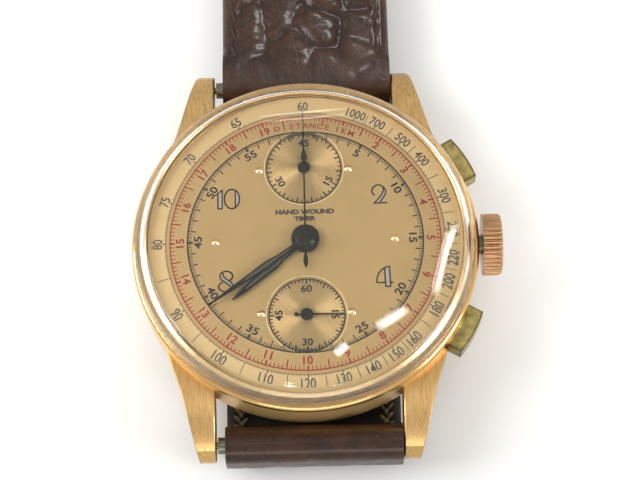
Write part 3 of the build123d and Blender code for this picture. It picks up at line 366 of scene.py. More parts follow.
NODE_LOOK = {
    "case": ["case_middle", "case_back"],
    "bezel": ["bezel", "buckle_frame", "buckle_bar", "buckle_tongue"],
    "ring": ["tension_ring"],
    "crown": ["crown"],
    "pusher": ["start_pusher", "reset_pusher"],
    "hands": ["hour_hand", "minute_hand", "chrono_hand", "seconds_hand", "counter_hand"],
    "steel": ["spring_bar_upper", "spring_bar_lower", "bar_tip_upper_left", "bar_tip_upper_right",
              "bar_tip_lower_left", "bar_tip_lower_right", "crown_tube", "pusher_tubes", "winding_stem"],
    "steel_flat": ["winding_pinion", "sliding_clutch", "ratchet_wheel", "crown_wheel", "column_wheel",
                   "reset_hammer", "movement_screws", "cannon_pinion", "pallet_fork", "mainspring"],
    "gilt": ["barrel", "centre_wheel", "third_wheel", "fourth_wheel", "escape_wheel", "balance_wheel",
             "minute_wheel", "hour_wheel", "chrono_runner", "minute_recorder", "movement_ring"],
    "nickel": ["main_plate", "barrel_bridge", "train_bridge", "balance_cock"],
    "blue": ["hairspring"],
    "ruby": ["jewels"],
    "dial": ["dial"],
    "marker": ["dial_markers"],
    "acrylic": ["crystal"],
    "croc": ["strap_upper_root", "strap_upper", "strap_lower_root", "strap_lower",
             "fixed_keeper", "floating_keeper"],
}


def dress(obj, look):
    """Gives an object one of the named materials and no other."""
    obj.data.materials.clear()
    obj.data.materials.append(MATS[look])


for look, names in NODE_LOOK.items():
    for name in names:
        dress(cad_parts[name], look)


# ------------------------------------------------------------------ mesh helpers

def mesh_piece(name, verts, faces, look, smooth=False):
    """New object from coordinates in millimetres above the case back."""
    data = bpy.data.meshes.new(name)
    data.from_pydata([(x * MM, y * MM, (z + LIFT) * MM) for x, y, z in verts], [], faces)
    data.update()
    if smooth:
        data.polygons.foreach_set("use_smooth", [True] * len(data.polygons))
    obj = bpy.data.objects.new(name, data)
    bpy.context.scene.collection.objects.link(obj)
    data.materials.append(MATS[look])
    return obj


# the dial is flat out to this radius and slopes down beyond it
DIAL_FLAT_R = 12.75
DIAL_SLOPE = 0.5 / 4.25
# height of a capital as a share of the font size
CAPITAL = 0.72


class Print:
    """Gathers flat printed marks into one thin mesh.

    Angles are in degrees, clockwise from 12 o'clock. at is the centre that a mark is measured from.
    """

    def __init__(self, z):
        self.z = z
        self.verts = []
        self.faces = []

    def poly(self, points):
        start = len(self.verts)
        self.verts += [(x, y, self.z) for x, y in points]
        self.faces.append(list(range(start, start + len(points))))

    def tick(self, angle, r0, r1, width, at=(0, 0)):
        """Straight mark across a ring, from one radius to another."""
        a = math.radians(angle)
        s, c = math.sin(a), math.cos(a)
        h = width / 2
        corners = ((r0, -h), (r0, h), (r1, h), (r1, -h))
        self.poly([(at[0] + r * s + w * c, at[1] + r * c - w * s) for r, w in corners])

    def ring(self, radius, width, at=(0, 0), steps=240):
        inner, outer = radius - width / 2, radius + width / 2
        for i in range(steps):
            a0 = math.radians(360.0 * i / steps)
            a1 = math.radians(360.0 * (i + 1) / steps)
            corners = ((a0, inner), (a1, inner), (a1, outer), (a0, outer))
            self.poly([(at[0] + r * math.sin(a), at[1] + r * math.cos(a)) for a, r in corners])

    def stroke(self, points, width):
        """Line of even width with rounded corners through points."""
        for (x0, y0), (x1, y1) in zip(points, points[1:]):
            size = math.hypot(x1 - x0, y1 - y0)
            nx, ny = (y0 - y1) / size * width / 2, (x1 - x0) / size * width / 2
            self.poly([(x0 + nx, y0 + ny), (x0 - nx, y0 - ny), (x1 - nx, y1 - ny), (x1 + nx, y1 + ny)])
        turns = [k * math.pi / 4 for k in range(8)]
        for x, y in points:
            self.poly([(x + width / 2 * math.cos(t), y + width / 2 * math.sin(t)) for t in turns])

    def text(self, words, angle, radius, height, at=(0, 0), bold=0.0, squeeze=1.0):
        """Words centred at a dial angle, their tops outward above the middle and inward below."""
        curve = bpy.data.curves.new("t", "FONT")
        curve.body = words
        curve.size = height / CAPITAL
        curve.offset = bold
        curve.resolution_u = 3
        obj = bpy.data.objects.new("t", curve)
        bpy.context.scene.collection.objects.link(obj)
        bpy.context.view_layer.update()
        made = bpy.data.meshes.new_from_object(obj.evaluated_get(bpy.context.evaluated_depsgraph_get()))
        co = np.array([v.co for v in made.vertices], float).reshape(-1, 3)
        lo, hi = co.min(0), co.max(0)
        co[:, 0] = (co[:, 0] - (lo[0] + hi[0]) / 2) * squeeze
        co[:, 1] -= (lo[1] + hi[1]) / 2
        turn = angle
        if 90.0 < angle % 360.0 < 270.0:
            turn += 180.0
        a, b = math.radians(angle), math.radians(-turn)
        start = len(self.verts)
        for x, y, _ in co:
            u = x * math.cos(b) - y * math.sin(b) + at[0] + radius * math.sin(a)
            v = x * math.sin(b) + y * math.cos(b) + at[1] + radius * math.cos(a)
            self.verts.append((u, v, self.z))
        for f in made.polygons:
            self.faces.append([start + i for i in f.vertices])
        bpy.data.objects.remove(obj)
        bpy.data.curves.remove(curve)
        bpy.data.meshes.remove(made)

    def build(self, name, look, body="case"):
        """Lays the marks on the dial, whose outer zone slopes down, and ties them to a body."""
        laid = []
        for x, y, z in self.verts:
            beyond = max(0.0, math.hypot(x, y) - DIAL_FLAT_R)
            laid.append((x, y, z - DIAL_SLOPE * beyond))
        obj = mesh_piece(name, laid, self.faces, look)
        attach(obj, body)
        return obj


# ------------------------------------------------------------------ dial print
DIAL_TOP, COUNTER_DEPTH, INK = 7.4, 0.18, 0.012
PRINT_Z = DIAL_TOP + INK
SUB_Z = DIAL_TOP - COUNTER_DEPTH + INK
SUB_AT = ((0, COUNTER_OFF), (0, -COUNTER_OFF))
SECONDS_R, TELEMETER_R, TACHYMETER_R = 12.62, 14.5, 14.98


def arc_text(marks, words, middle, radius, height, pitch, **style):
    """Single letters spaced along a ring."""
    first = middle - pitch * (len(words) - 1) / 2
    for k, letter in enumerate(words):
        if letter != " ":
            marks.text(letter, first + k * pitch, radius, height, **style)


def oval(cx, cy, a, b, t0, t1, steps=28):
    """Points of an oval between two angles in degrees, counter-clockwise from +X."""
    turns = [math.radians(t0 + (t1 - t0) * i / steps) for i in range(steps + 1)]
    return [(cx + a * math.cos(t), cy + b * math.sin(t)) for t in turns]


black = Print(PRINT_Z)
black.ring(SECONDS_R, 0.14)
for i in range(300):
    if i % 5:
        black.tick(i * 1.2, 12.2, 12.6, 0.09)
for i in range(60):
    bold = i % 5 == 0
    black.tick(i * 6, 12.05 if bold else 11.8, 12.65, 0.24 if bold else 0.13)
for i in range(1, 12):
    if i != 6:
        black.text(str(i * 5), i * 30, 11.5, 0.84, bold=0.03, squeeze=1.22)
for words, y, height in (("HAND WOUND", 3.28, 0.52), ("TIMER", 2.5, 0.48)):
    black.text(words, 0, y, height, bold=0.035, squeeze=1.2)
black.build("print_seconds_track", "black")

red = Print(PRINT_Z)
red.ring(TELEMETER_R, 0.13)
for i in range(200):
    angle = i * 1.8
    if i % 10 == 0:
        red.tick(angle, 14.0, 14.6, 0.2)
    elif i % 5 == 0:
        red.tick(angle, 13.5, TELEMETER_R, 0.14)
    else:
        red.tick(angle, 14.05, TELEMETER_R, 0.1)
for i in range(2, 20):
    red.text(str(i), i * 18, 13.42, 0.88, bold=0.03, squeeze=1.05)
arc_text(red, "DISTANCE", -0.5, 13.4, 0.66, 3.35, bold=0.015, squeeze=1.05)
arc_text(red, "1KM", 19.5, 13.4, 0.7, 3.4, bold=0.015, squeeze=1.0)
red.build("print_telemeter", "red")

def speed_angle(speed):
    """Dial angle reached when one unit of distance is passed at this speed per hour."""
    return 21600.0 / speed


grey = Print(PRINT_Z)
grey.ring(TACHYMETER_R, 0.06)
speeds = [1000, 700, 500, 400, 300, 250, 220, 200, 180, 160, 150,
          140, 130, 120, 110, 100, 90, 80, 75, 70, 65, 60]
for v in speeds:
    angle = speed_angle(v)
    grey.tick(angle, TACHYMETER_R, 15.3, 0.13)
    grey.text(str(v), angle, 15.85, 1.05, squeeze=0.82, bold=0.02)
for a, b in zip(speeds, speeds[1:]):
    a_at, b_at = speed_angle(a), speed_angle(b)
    if a > 80:
        grey.tick((a_at + b_at) / 2, 15.0, 16.3, 0.075)
    for k in range(1, 10):
        if k != 5:
            grey.tick(a_at + (b_at - a_at) * k / 10, TACHYMETER_R, 15.22, 0.045)
grey.build("print_tachymeter", "grey")

sub = Print(SUB_Z)
rims = Print(PRINT_Z)
DIVISIONS = (45, 60)
LONG_EVERY = (3, 5)
LABELS = (
    ((0, "45"), (120, "15"), (240, "30")),
    ((0, "60"), (90, "15"), (180, "30"), (270, "45")),
)
for k, at in enumerate(SUB_AT):
    sub.ring(4.02, 0.1, at, 120)
    rims.ring(4.3, 0.1, at, 120)
    count = DIVISIONS[k]
    for i in range(count):
        long = i % LONG_EVERY[k] == 0
        sub.tick(i * 360.0 / count, 3.46 if long else 3.68, 4.02, 0.15 if long else 0.11, at)
    for angle, words in LABELS[k]:
        sub.text(words, angle, 2.98, 0.78, at, bold=0.03, squeeze=1.12)
sub.build("print_counters", "black")
rims.build("counter_rims", "rim")

# the four large hour figures: their middles, their inked lines and their pale fills
FIGURES = {
    "10": {
        "place": (-8.33, 4.95),
        "lines": [
            [(-1.33, 0.41), (-0.54, 1.05), (-0.56, -1.12), (-1.01, -1.12), (-1.01, 0.66)],
            oval(0.5, 0.0, 0.81, 1.12, 0, 360, 48),
            [(0.87, 0.98), (0.87, -0.98)],
        ],
        "fills": [
            [(-1.01, -1.12), (-0.56, -1.12), (-0.55, 1.03), (-1.01, 0.68)],
            oval(0.5, 0.0, 0.81, 1.12, -62, 62),
        ],
    },
    "2": {
        "place": (8.05, 5.1),
        "lines": [
            [(-0.53, -0.09), (-0.74, 0.13), (-0.78, 0.45), (-0.64, 0.78), (-0.35, 1.02), (-0.05, 1.09),
             (0.27, 1.0), (0.54, 0.76), (0.71, 0.41), (0.69, 0.04), (0.46, -0.37), (-0.01, -1.0)],
            [(0.32, 0.97), (0.46, 0.7), (0.47, 0.4), (0.30, -0.03), (-0.11, -0.54), (-0.58, -1.03),
             (0.8, -1.0)],
        ],
        "fills": [
            [(0.36, 0.95), (0.54, 0.76), (0.71, 0.41), (0.69, 0.04), (0.46, -0.37), (-0.01, -1.0),
             (-0.58, -1.03), (-0.11, -0.54), (0.30, -0.03), (0.47, 0.4), (0.46, 0.7)],
        ],
    },
    "4": {
        "place": (8.3, -4.35),
        "lines": [
            [(0.6, 1.14), (0.13, 1.05), (-0.29, 0.75), (-0.61, 0.36), (-0.76, -0.09), (-0.83, -0.67),
             (0.1, -0.67)],
            [(0.04, 1.0), (0.13, -1.13), (0.63, -1.13), (0.58, 1.14)],
            [(0.62, -0.67), (0.9, -0.67)],
        ],
        "fills": [[(0.04, 1.0), (0.13, -1.13), (0.63, -1.13), (0.58, 1.14)]],
    },
    "8": {
        "place": (-8.55, -4.45),
        "lines": [
            oval(0.05, 0.56, 0.68, 0.56, -62, 190, 24),
            oval(0.0, -0.62, 0.76, 0.56, 118, 350, 24),
            [(-0.62, 0.5), (-0.5, 0.18), (-0.1, -0.12), (0.38, -0.5), (0.6, -0.82), (0.5, -1.08)],
            [(-0.32, 0.92), (-0.26, 0.55), (0.04, 0.24), (0.5, -0.08), (0.74, -0.42), (0.75, -0.74)],
        ],
        "fills": [
            [(-0.62, 0.55), (-0.5, 0.18), (-0.1, -0.12), (0.38, -0.5), (0.6, -0.82), (0.74, -0.74),
             (0.74, -0.42), (0.5, -0.08), (0.04, 0.24), (-0.26, 0.55), (-0.32, 0.92), (-0.52, 0.9)],
        ],
    },
}
outline = Print(PRINT_Z + 0.006)
fill = Print(PRINT_Z)
for figure in FIGURES.values():
    cx, cy = figure["place"]
    for points in figure["lines"]:
        outline.stroke([(x + cx, y + cy) for x, y in points], 0.15)
    for points in figure["fills"]:
        fill.poly([(x + cx, y + cy) for x, y in points])
outline.build("numeral_outlines", "black")
fill.build("numeral_fills", "numeral")


# outlines run along the hand as (half width, distance from the middle of the dial)
HAND_THICK = 0.14
HOUR_Z, MINUTE_Z = 7.66, 7.88
HOUR_ANGLE, MINUTE_ANGLE = 229.6, 235.0
HOUR_EDGE = [(0.1, 1.9), (0.12, 3.2), (0.28, 4.5), (0.2, 5.6), (0.1, 8.4)]
MINUTE_EDGE = [(0.08, 2.0), (0.1, 3.6), (0.2, 4.9), (0.1, 8.0)]


def hand_channel(name, body, z, angle, right):
    """Dark filling laid along the middle of a hand; right is its right-hand edge."""
    marks = Print(z + HAND_THICK + 0.008)
    a = math.radians(angle)
    edge = right + [(-x, y) for x, y in reversed(right)]
    marks.poly([(x * math.cos(a) + y * math.sin(a), y * math.cos(a) - x * math.sin(a)) for x, y in edge])
    return marks.build(name, "channel", body)


hand_channel("hour_hand_channel", "hour", HOUR_Z, HOUR_ANGLE, HOUR_EDGE)
hand_channel("minute_hand_channel", "minute", MINUTE_Z, MINUTE_ANGLE, MINUTE_EDGE)

# ------------------------------------------------------------------ strap
# spring bar, the strap's radius round it, and the hole that takes it
BAR_Y, BAR_Z, KNUCKLE = 20.85, 1.45, 2.03
BAR_HOLE = 1.0
# the strap sits a little right of the case's middle
SHIFT = 0.45
UPPER_LENGTH, LOWER_LENGTH = 74.0, 106.0
STRAP_WIDTH, STRAP_TAPER = 18.9, 2.9
# half thickness where it is padded, and at its end
PAD_HALF, TIP_HALF = 1.6, 1.2
POINT_LENGTH = 9.0
# half width that the plate pattern is laid out on
SPAN = 9.2
# share of the half width where the edge starts to round off, and how far it rounds
EDGE_FROM, EDGE_ROUND = 0.84, 0.86
CROWN, CROWN_DROP = 0.32, 0.12
STITCH_INSET = 1.25
# middle of the folded part below the case, and the radius of the bend that leads to it
FOLD_Z, FOLD_R = -2.4, 2.0


def smooth(a, b, x):
    """Smooth step from 0 at a to 1 at b."""
    t = min(1.0, max(0.0, (x - a) / (b - a)))
    return t * t * (3 - 2 * t)


def upper_path(s):
    """Place (y, z) and direction at a distance along the strap: straight out from the bar."""
    return (BAR_Y + s, BAR_Z), (1.0, 0.0)


def lower_path(s):
    """Down from the bar, round a quarter turn, then flat below the case."""
    drop = BAR_Z - FOLD_Z - FOLD_R
    arc = FOLD_R * math.pi / 2
    if s <= drop:
        return (-BAR_Y, BAR_Z - s), (0.0, -1.0)
    if s <= drop + arc:
        a = (s - drop) / FOLD_R
        mid = (-BAR_Y + FOLD_R - FOLD_R * math.cos(a), FOLD_Z + FOLD_R - FOLD_R * math.sin(a))
        return mid, (math.sin(a), -math.cos(a))
    return (-BAR_Y + FOLD_R + s - drop - arc, FOLD_Z), (1.0, 0.0)


def upper_width(s):
    """Tapers slowly to the square buckle end."""
    return STRAP_WIDTH - STRAP_TAPER * smooth(8, UPPER_LENGTH, s)


def lower_width(s):
    """Tapers slowly, then closes to a rounded point at the end."""
    tip = LOWER_LENGTH - POINT_LENGTH
    w = STRAP_WIDTH - STRAP_TAPER * smooth(8, 80, s)
    if s > tip:
        w *= max(0.02, 1 - ((s - tip) / (POINT_LENGTH + 0.05)) ** 2.6) ** 0.62
    return w


def smooth_array(t):
    """The same step from 0 to 1, over an array."""
    t = np.clip(t, 0.0, 1.0)
    return t * t * (3 - 2 * t)


def half_thick(s, end):
    """Half thickness: round over the bar, then padded, then thinner towards the end."""
    if s < 0:
        return math.sqrt(max(1e-4, KNUCKLE**2 - s * s))
    body = PAD_HALF + (KNUCKLE - PAD_HALF) * (1 - smooth(0.5, 6.0, s))
    return body + (TIP_HALF - PAD_HALF) * smooth(10, end, s)


def scale_cells(rng, length):
    """Plate centres as (distance, share of width, height), four loose columns of long plates."""
    cells = []
    for k, v in enumerate((-0.70, -0.25, 0.22, 0.68)):
        s = -5.0 + 3.1 * (k % 2)
        while s < length + 6:
            along = s + rng.uniform(-0.8, 0.8)
            across = v + rng.uniform(-0.12, 0.12)
            cells.append((along, across, rng.uniform(-0.1, 0.1)))
            s += rng.uniform(5.2, 8.6)
    return np.array(cells)


def plate_gap(cells, s, v_list):
    """For one row: how far each point is inside its nearest plate, and that plate's height."""
    near = cells[np.abs(cells[:, 0] - s) < 14.0]
    ds = near[:, 0][None, :] - s
    dv = (near[:, 1][None, :] - v_list[:, None]) * SPAN
    lean = 0.35 * np.sin(s * 0.33 + near[:, 2][None, :] * 40.0)
    dist = np.hypot(ds * 0.64 + lean, dv + 0.25 * ds * np.sign(near[:, 2])[None, :])
    order = np.argsort(dist, axis=1)
    first_two = np.take_along_axis(dist, order[:, :2], axis=1)
    return first_two[:, 1] - first_two[:, 0], near[order[:, 0], 2]


def grain_relief(cells, wrinkle, s, v_list, half_w):
    """Height of plates, grooves, lanes, folds and wrinkles along one row of the grained face."""
    gap, plate = plate_gap(cells, s, v_list)
    border = smooth_array((half_w - 1.5 - np.abs(v_list) * half_w) / 0.5)
    groove = (0.45 * np.exp(-((gap / 0.26) ** 2)) + np.exp(-((gap / 1.05) ** 2))) * border
    lump = plate * (1 - np.exp(-((gap / 0.8) ** 2))) * border
    lanes = np.array([[-0.47], [-0.01], [0.45]]) + 0.05 * np.sin(s * 0.31 + wrinkle[:3, None])
    strength = 0.55 + 0.45 * np.sin(s * 0.43 + wrinkle[3:6, None])
    away = (v_list[None, :] - lanes) * SPAN / 0.55
    lane = (strength * np.exp(-(away**2))).sum(axis=0) * border
    slow = np.sin(s * 0.47 + 2.0 * v_list + wrinkle[1])
    fold = 0.09 * np.sin(s * 1.15 + 5.0 * v_list + wrinkle[3]) * slow
    ripple = 0.0
    for k in range(6):
        along = math.sin(s * (1.3 + 0.7 * k) + wrinkle[k])
        ripple = ripple + along * np.sin(v_list * (5 + 3.1 * k) + wrinkle[k + 6])
    tiny = fold * border + ripple * 0.018
    return tiny + lump - 0.23 * groove - 0.2 * lane


def strap_points(path, width, length, out, seed, s_list, v_list):
    """Rows of points over the grained face, then over the lining."""
    rng = np.random.default_rng(seed)
    cells = scale_cells(rng, length)
    wrinkle = rng.uniform(0, 6.28, 12)
    points = []
    for side in (1, -1):
        for s in s_list:
            (y, z), (dy, dz) = path(s)
            ny, nz = -dz * out, dy * out
            half_w = width(s) / 2
            t = half_thick(s, length)
            soften = smooth(2.0, 5.0, s)
            e = np.maximum(0.0, (np.abs(v_list) - EDGE_FROM) / (1 - EDGE_FROM))
            edge = np.sqrt(1 - e * e * EDGE_ROUND * soften)
            if side > 0:
                amount = smooth(1.5, 5.5, s) * 0.85 + 0.15 * smooth(-1.5, 0.5, s)
                relief = grain_relief(cells, wrinkle, s, v_list, half_w)
                from_row = np.abs(v_list) * half_w - (half_w - STITCH_INSET)
                seat = np.exp(-((from_row / 0.35) ** 2)) * 0.2 * soften
                crown = (CROWN * (1 - v_list**2) - CROWN_DROP) * soften * edge
                h = t * edge + crown + relief * amount * edge - seat
            else:
                h = t * edge - 0.02 * smooth(0.0, 1.5, s)
            ny, nz = ny * side, nz * side
            points += [(v * half_w + SHIFT, y + ny * k, z + nz * k) for v, k in zip(v_list, h)]
    return points


def strap_half(name, path, width, length, out, seed, slot=0.0):
    """Padded crocodile strap half with a bar tunnel, lining below and scales above.

    out is +1 when the grained face lies to the left of the path seen from +X, else -1.
    slot is the depth of the tongue slot cut into the end.
    """
    cap = -KNUCKLE * np.cos(np.linspace(0, math.pi / 2, 12))[:-1]
    knuckle = np.linspace(0, KNUCKLE, 9)[:-1]
    s_list = np.concatenate((cap, knuckle, np.arange(KNUCKLE, length, 0.24), [length]))
    nv = 81
    v_list = np.sin(np.linspace(-math.pi / 2, math.pi / 2, nv) * 0.96) / math.sin(math.pi / 2 * 0.96)
    verts = strap_points(path, width, length, out, seed, s_list, v_list)
    ns = len(s_list)
    base = ns * nv
    faces, looks = [], []

    def quad(ids, look):
        faces.append(ids if out > 0 else ids[::-1])
        looks.append(look)

    croc, lining, cut_edge = 0, 1, 2
    # both faces, with the tongue slot left open
    left, right = nv // 2 - 4, nv // 2 + 4
    cut = next(i for i in range(ns) if s_list[i] >= length - slot)
    for i in range(ns - 1):
        for j in range(nv - 1):
            if i >= cut and left <= j < right:
                continue
            a = i * nv + j
            quad((a, a + 1, a + nv + 1, a + nv), croc)
            b = base + a
            quad((b + nv, b + nv + 1, b + 1, b), croc if s_list[i] < 1.5 else lining)
    # the fold over the bar, the end of the strap and the walls of the slot
    for j in range(nv - 1):
        a, b = j, base + j
        quad((b, b + 1, a + 1, a), croc)
        row = cut if left <= j < right else ns - 1
        a, b = row * nv + j, base + row * nv + j
        quad((a, a + 1, b + 1, b), cut_edge)
    for i in range(cut, ns - 1):
        for j in (left, right):
            a, b = i * nv + j, base + i * nv + j
            ids = (a, a + nv, b + nv, b)
            quad(ids if j == right else ids[::-1], cut_edge)
    # the long edges, with the round opening of the bar tunnel at each side
    first = next(i for i in range(ns) if s_list[i] > KNUCKLE - 1e-6)
    (by, bz), _ = path(0.0)
    rings = []
    for j in (0, nv - 1):
        under = [base + i * nv + j for i in range(first, -1, -1)]
        loop = under + [i * nv + j for i in range(first + 1)]
        ring = []
        for k in loop:
            x, y, z = verts[k]
            d = math.hypot(y - by, z - bz)
            ring.append(len(verts))
            verts.append((x, by + (y - by) * BAR_HOLE / d, bz + (z - bz) * BAR_HOLE / d))
        count = len(loop)
        for k in range(count):
            n = (k + 1) % count
            ids = (loop[k], loop[n], ring[n], ring[k])
            quad(ids if j == 0 else ids[::-1], cut_edge)
        rings.append(ring)
        for i in range(first, ns - 1):
            a, b = i * nv + j, base + i * nv + j
            ids = (a, a + nv, b + nv, b)
            quad(ids if j == 0 else ids[::-1], cut_edge)
    # the wall of the bar tunnel
    count = len(rings[0])
    for k in range(count):
        n = (k + 1) % count
        quad((rings[0][k], rings[0][n], rings[1][n], rings[1][k]), lining)
    obj = mesh_piece(name, verts, faces, "croc", True)
    obj.data.materials.append(MATS["lining"])
    obj.data.materials.append(MATS["edge"])
    obj.data.polygons.foreach_set("material_index", looks)
    return obj


def stitch_rows(name, path, width, length, out, look, side, s0, s1, inset=STITCH_INSET,
                pitch=2.3, size=1.9, rise=0.1, slant=0.5):
    """Rows of sewing thread along both edges of a strap half, from s0 to s1 along it.

    side is +1 on the grained face and -1 on the lining.
    """
    verts, faces = [], []
    n_len, n_round = 7, 8
    for edge_side in (-1, 1):
        s = s0
        while s + size < s1:
            start = len(verts)
            for a in range(n_len):
                q = a / (n_len - 1)
                at = s + q * size
                (y, z), (dy, dz) = path(at)
                ny, nz = -dz * out * side, dy * out * side
                half_w = width(at) / 2
                x = edge_side * (half_w - inset) + slant * (q - 0.5) * edge_side
                v = abs(x) / half_w
                e = max(0.0, (v - EDGE_FROM) / (1 - EDGE_FROM))
                top = half_thick(at, length) * math.sqrt(1 - e * e * EDGE_ROUND)
                top += (CROWN * (1 - v * v) - CROWN_DROP - 0.12) if side > 0 else 0.0
                r = 0.23 * math.sqrt(max(0.05, 1 - (2 * q - 1) ** 4))
                lift = top + rise * (1 - (2 * q - 1) ** 2) - 0.04
                for b in range(n_round):
                    t = 2 * math.pi * b / n_round
                    h = lift + r * 0.75 * math.sin(t)
                    verts.append((SHIFT + x + r * math.cos(t), y + ny * h, z + nz * h))
            for a in range(n_len - 1):
                for b in range(n_round):
                    c = (b + 1) % n_round
                    p = start + a * n_round
                    faces.append((p + b, p + c, p + n_round + c, p + n_round + b))
            faces.append(tuple(start + b for b in range(n_round))[::-1])
            faces.append(tuple(start + (n_len - 1) * n_round + b for b in range(n_round)))
            s += pitch
    return mesh_piece(name, verts, faces, look, True)


def keeper_loop(name, y0, width, body):
    """Leather keeper: a rounded strip bent round the strap."""
    around, across = 96, 10
    half_x, low, high = 9.1, BAR_Z - 1.84, BAR_Z + 4.2
    mid_z, half_z = (low + high) / 2, (high - low) / 2
    verts, faces = [], []
    for i in range(around):
        t = 2 * math.pi * i / around
        c, s = math.cos(t), math.sin(t)
        x = half_x * math.copysign(abs(c) ** 0.28, c)
        z = mid_z + half_z * math.copysign(abs(s) ** 0.35, s)
        n = Vector((c / half_x, 0, s / half_z)).normalized()
        for j in range(across):
            p = 2 * math.pi * j / across
            u = math.copysign(abs(math.cos(p)) ** 0.45, math.cos(p)) * width / 2
            w = math.copysign(abs(math.sin(p)) ** 0.8, math.sin(p)) * 0.38
            verts.append((SHIFT + x + n.x * w, y0 + width / 2 + u, z + n.z * w))
    for i in range(around):
        for j in range(across):
            here, ahead = i * across, (i + 1) % around * across
            k = (j + 1) % across
            faces.append((ahead + j, ahead + k, here + k, here + j))
    obj = mesh_piece(name, verts, faces, "croc", True)
    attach(obj, body)
    return obj


def bend_point(y, z):
    """A point on the middle plane, in the frame's metres."""
    return 0, y * MM, (z + LIFT) * MM


UPPER_BEND = ("upper_root", "upper_strap", bend_point(BAR_Y + 8, BAR_Z), bend_point(BAR_Y + 16, BAR_Z))
LOWER_BEND = ("lower_root", "lower_strap", bend_point(-BAR_Y, -0.5), bend_point(2.35 - BAR_Y, FOLD_Z))
UPPER = (upper_path, upper_width, UPPER_LENGTH, 1)
LOWER = (lower_path, lower_width, LOWER_LENGTH, -1)

upper = strap_half("strap_leather_upper", *UPPER, 11, slot=3.2)
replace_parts(upper, "strap_upper_root", "strap_upper")
lower = strap_half("strap_leather_lower", *LOWER, 23)
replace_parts(lower, "strap_lower_root", "strap_lower")
upper_thread = stitch_rows("stitches_upper", *UPPER, "stitch", 1, 3.2, 70)
lower_thread = stitch_rows("stitches_lower", *LOWER, "stitch", 1, 3.2, 98)
bends = [(upper, UPPER_BEND), (upper_thread, UPPER_BEND), (lower, LOWER_BEND), (lower_thread, LOWER_BEND)]
for k, inset in enumerate((1.15, 1.6, 2.0)):
    end = stitch_rows(f"thread_ends_{k}", *LOWER, "tan", -1, 5.2 + 0.35 * k, 8.6, inset,
                      pitch=1.0 + 0.1 * k, size=0.8, rise=0.35, slant=0.5 - 0.5 * k)
    bends.append((end, LOWER_BEND))
for obj, bend in bends:
    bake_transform(obj)
KEEPERS = (("keeper_fixed_leather", 83.85, "upper_strap", "fixed_keeper"),
           ("keeper_floating_leather", 70.85, "keeper", "floating_keeper"))
for name, y0, body, cad in KEEPERS:
    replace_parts(keeper_loop(name, y0, 5.0, body), cad)

# ------------------------------------------------------------------ stage

def area_light(name, at, look_at, size, power):
    """Rectangular lamp, placed and aimed in metres."""
    data = bpy.data.lights.new(name, "AREA")
    data.shape = "RECTANGLE"
    data.size, data.size_y = size
    data.energy = power
    obj = bpy.data.objects.new(name, data)
    obj.location = at
    obj.rotation_euler = (Vector(look_at) - Vector(at)).to_track_quat("-Z", "Y").to_euler()
    bpy.context.scene.collection.objects.link(obj)
    return obj


floor_data = bpy.data.meshes.new("floor")
FLOOR_HALF = 3
corners = ((-1, -1), (1, -1), (1, 1), (-1, 1))
floor_corners = [(x * FLOOR_HALF, y * FLOOR_HALF, -0.0001) for x, y in corners]
floor_data.from_pydata(floor_corners, [], [(0, 1, 2, 3)])
floor = bpy.data.objects.new("floor", floor_data)
bpy.context.scene.collection.objects.link(floor)
floor_mat, floor_tree, floor_bsdf, floor_coords = new_material("floor_pale")
floor_split = node(floor_tree, "ShaderNodeSeparateXYZ")
link(floor_tree, floor_coords, floor_split.inputs[0])
# painted shade: the floor colour darkens towards the front, on the camera's side of the watch
floor_painted_shade = ramp(floor_tree, floor_split.outputs["Y"], -0.045, 0.0, 0.0, 1.0)
floor_tone = mix_color(floor_tree, floor_painted_shade, (0.50, 0.50, 0.495), (0.86, 0.86, 0.86))
link(floor_tree, floor_tone, floor_bsdf.inputs["Base Color"])
floor_bsdf.inputs["Roughness"].default_value = 0.85
floor_data.materials.append(floor_mat)
floor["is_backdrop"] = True

area_light("key", (-0.42, 0.02, 0.34), (0, 0, 0.01), (0.30, 0.40), 2.4)
area_light("side", (0.42, -0.16, 0.26), (0, 0, 0.01), (0.20, 0.22), 1.25)
area_light("front", (0.02, -0.42, 0.20), (0, 0, 0.01), (0.40, 0.14), 0.5)

sheen = area_light("strap_sheen", (0.09, 0.22, 0.34), (0.003, 0.03, 0.007), (0.10, 0.08), 0.38)
leather_only = bpy.data.collections.new("leather_only")
for obj in (upper, upper_thread):
    leather_only.objects.link(obj)
sheen.light_linking.receiver_collection = leather_only


def window(tree, ray, centre, angle, half, power):
    """Bright soft-edged pane in the surroundings, placed by the flat part of its direction."""
    place = node(tree, "ShaderNodeMapping", vector_type="TEXTURE")
    place.inputs["Location"].default_value = (*centre, 0)
    place.inputs["Rotation"].default_value = (0, 0, math.radians(angle))
    place.inputs["Scale"].default_value = (*half, 1)
    link(tree, ray, place.inputs["Vector"])
    split = node(tree, "ShaderNodeSeparateXYZ")
    link(tree, place.outputs["Vector"], split.inputs[0])
    value = power
    for axis in "XY":
        away = maths(tree, "ABSOLUTE", split.outputs[axis])
        value = maths(tree, "MULTIPLY", ramp(tree, away, 0.5, 1.3, 1.0, 0.0), value)
    return value


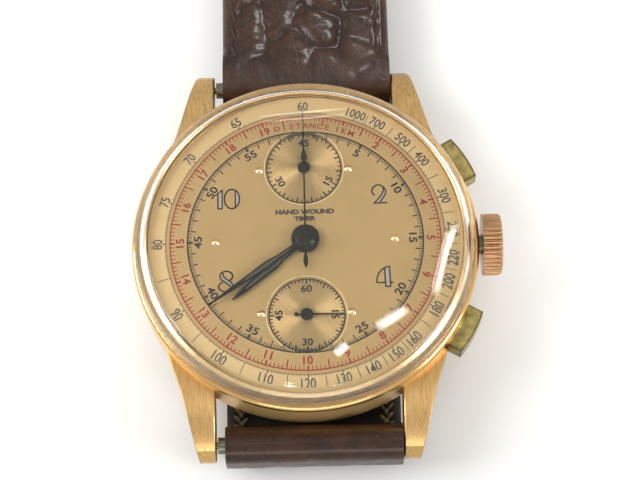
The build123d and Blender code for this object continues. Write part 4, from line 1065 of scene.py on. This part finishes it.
# centre, turn, half size and brightness of each pane
WINDOWS = (
    ((0.239, 0.096), 35, (0.045, 0.012), 20.0),
    ((0.092, 0.001), 40, (0.020, 0.010), 25.0),
    ((0.380, 0.276), 79, (0.085, 0.0055), 32.0),
    ((-0.006, 0.689), 4, (0.095, 0.003), 7.0),
    ((-0.052, -0.093), -15, (0.022, 0.009), 28.0),
    ((-0.393, 0.146), 122, (0.062, 0.005), 30.0),
)
world = bpy.data.worlds.new("soft")
bpy.context.scene.world = world
world.use_nodes = True
wt = world.node_tree
wt.nodes["Background"].inputs["Color"].default_value = (1.0, 0.985, 0.955, 1)
ray = node(wt, "ShaderNodeTexCoord").outputs["Generated"]
glow = 0.82
for pane in WINDOWS:
    glow = maths(wt, "ADD", window(wt, ray, *pane), glow)
link(wt, glow, wt.nodes["Background"].inputs["Strength"])

# ------------------------------------------------------------------ camera
ELEVATION = math.radians(69.0)
ROLL = math.radians(-1.4)
DISTANCE = 0.223
HUB_HEIGHT = 0.7
AIM_RIGHT, AIM_DOWN = 1.566, 0.118
camera = bpy.data.objects.new("camera", bpy.data.cameras.new("camera"))
camera.data.lens = 117.0
camera.data.sensor_width = 36.0
camera.data.clip_start = 0.01
right = Vector((1, 0, 0))
up = Vector((0, math.sin(ELEVATION), math.cos(ELEVATION)))
back = Vector((0, -math.cos(ELEVATION), math.sin(ELEVATION)))
turned_right = right * math.cos(ROLL) + up * math.sin(ROLL)
turned_up = up * math.cos(ROLL) - right * math.sin(ROLL)
hub = Vector((0, 0, (DIAL_TOP + HUB_HEIGHT + LIFT) * MM))
aim = hub + turned_right * AIM_RIGHT * MM - turned_up * AIM_DOWN * MM
place = aim + back * DISTANCE
basis = Matrix((turned_right, turned_up, back)).transposed().to_4x4()
camera.matrix_world = Matrix.Translation(place) @ basis
bpy.context.scene.collection.objects.link(camera)
bpy.context.scene.camera = camera
bpy.context.scene.view_settings.view_transform = "Standard"
bpy.context.scene.view_settings.look = "None"
bpy.context.scene.view_settings.gamma = 0.88

save_bounds("end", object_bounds())
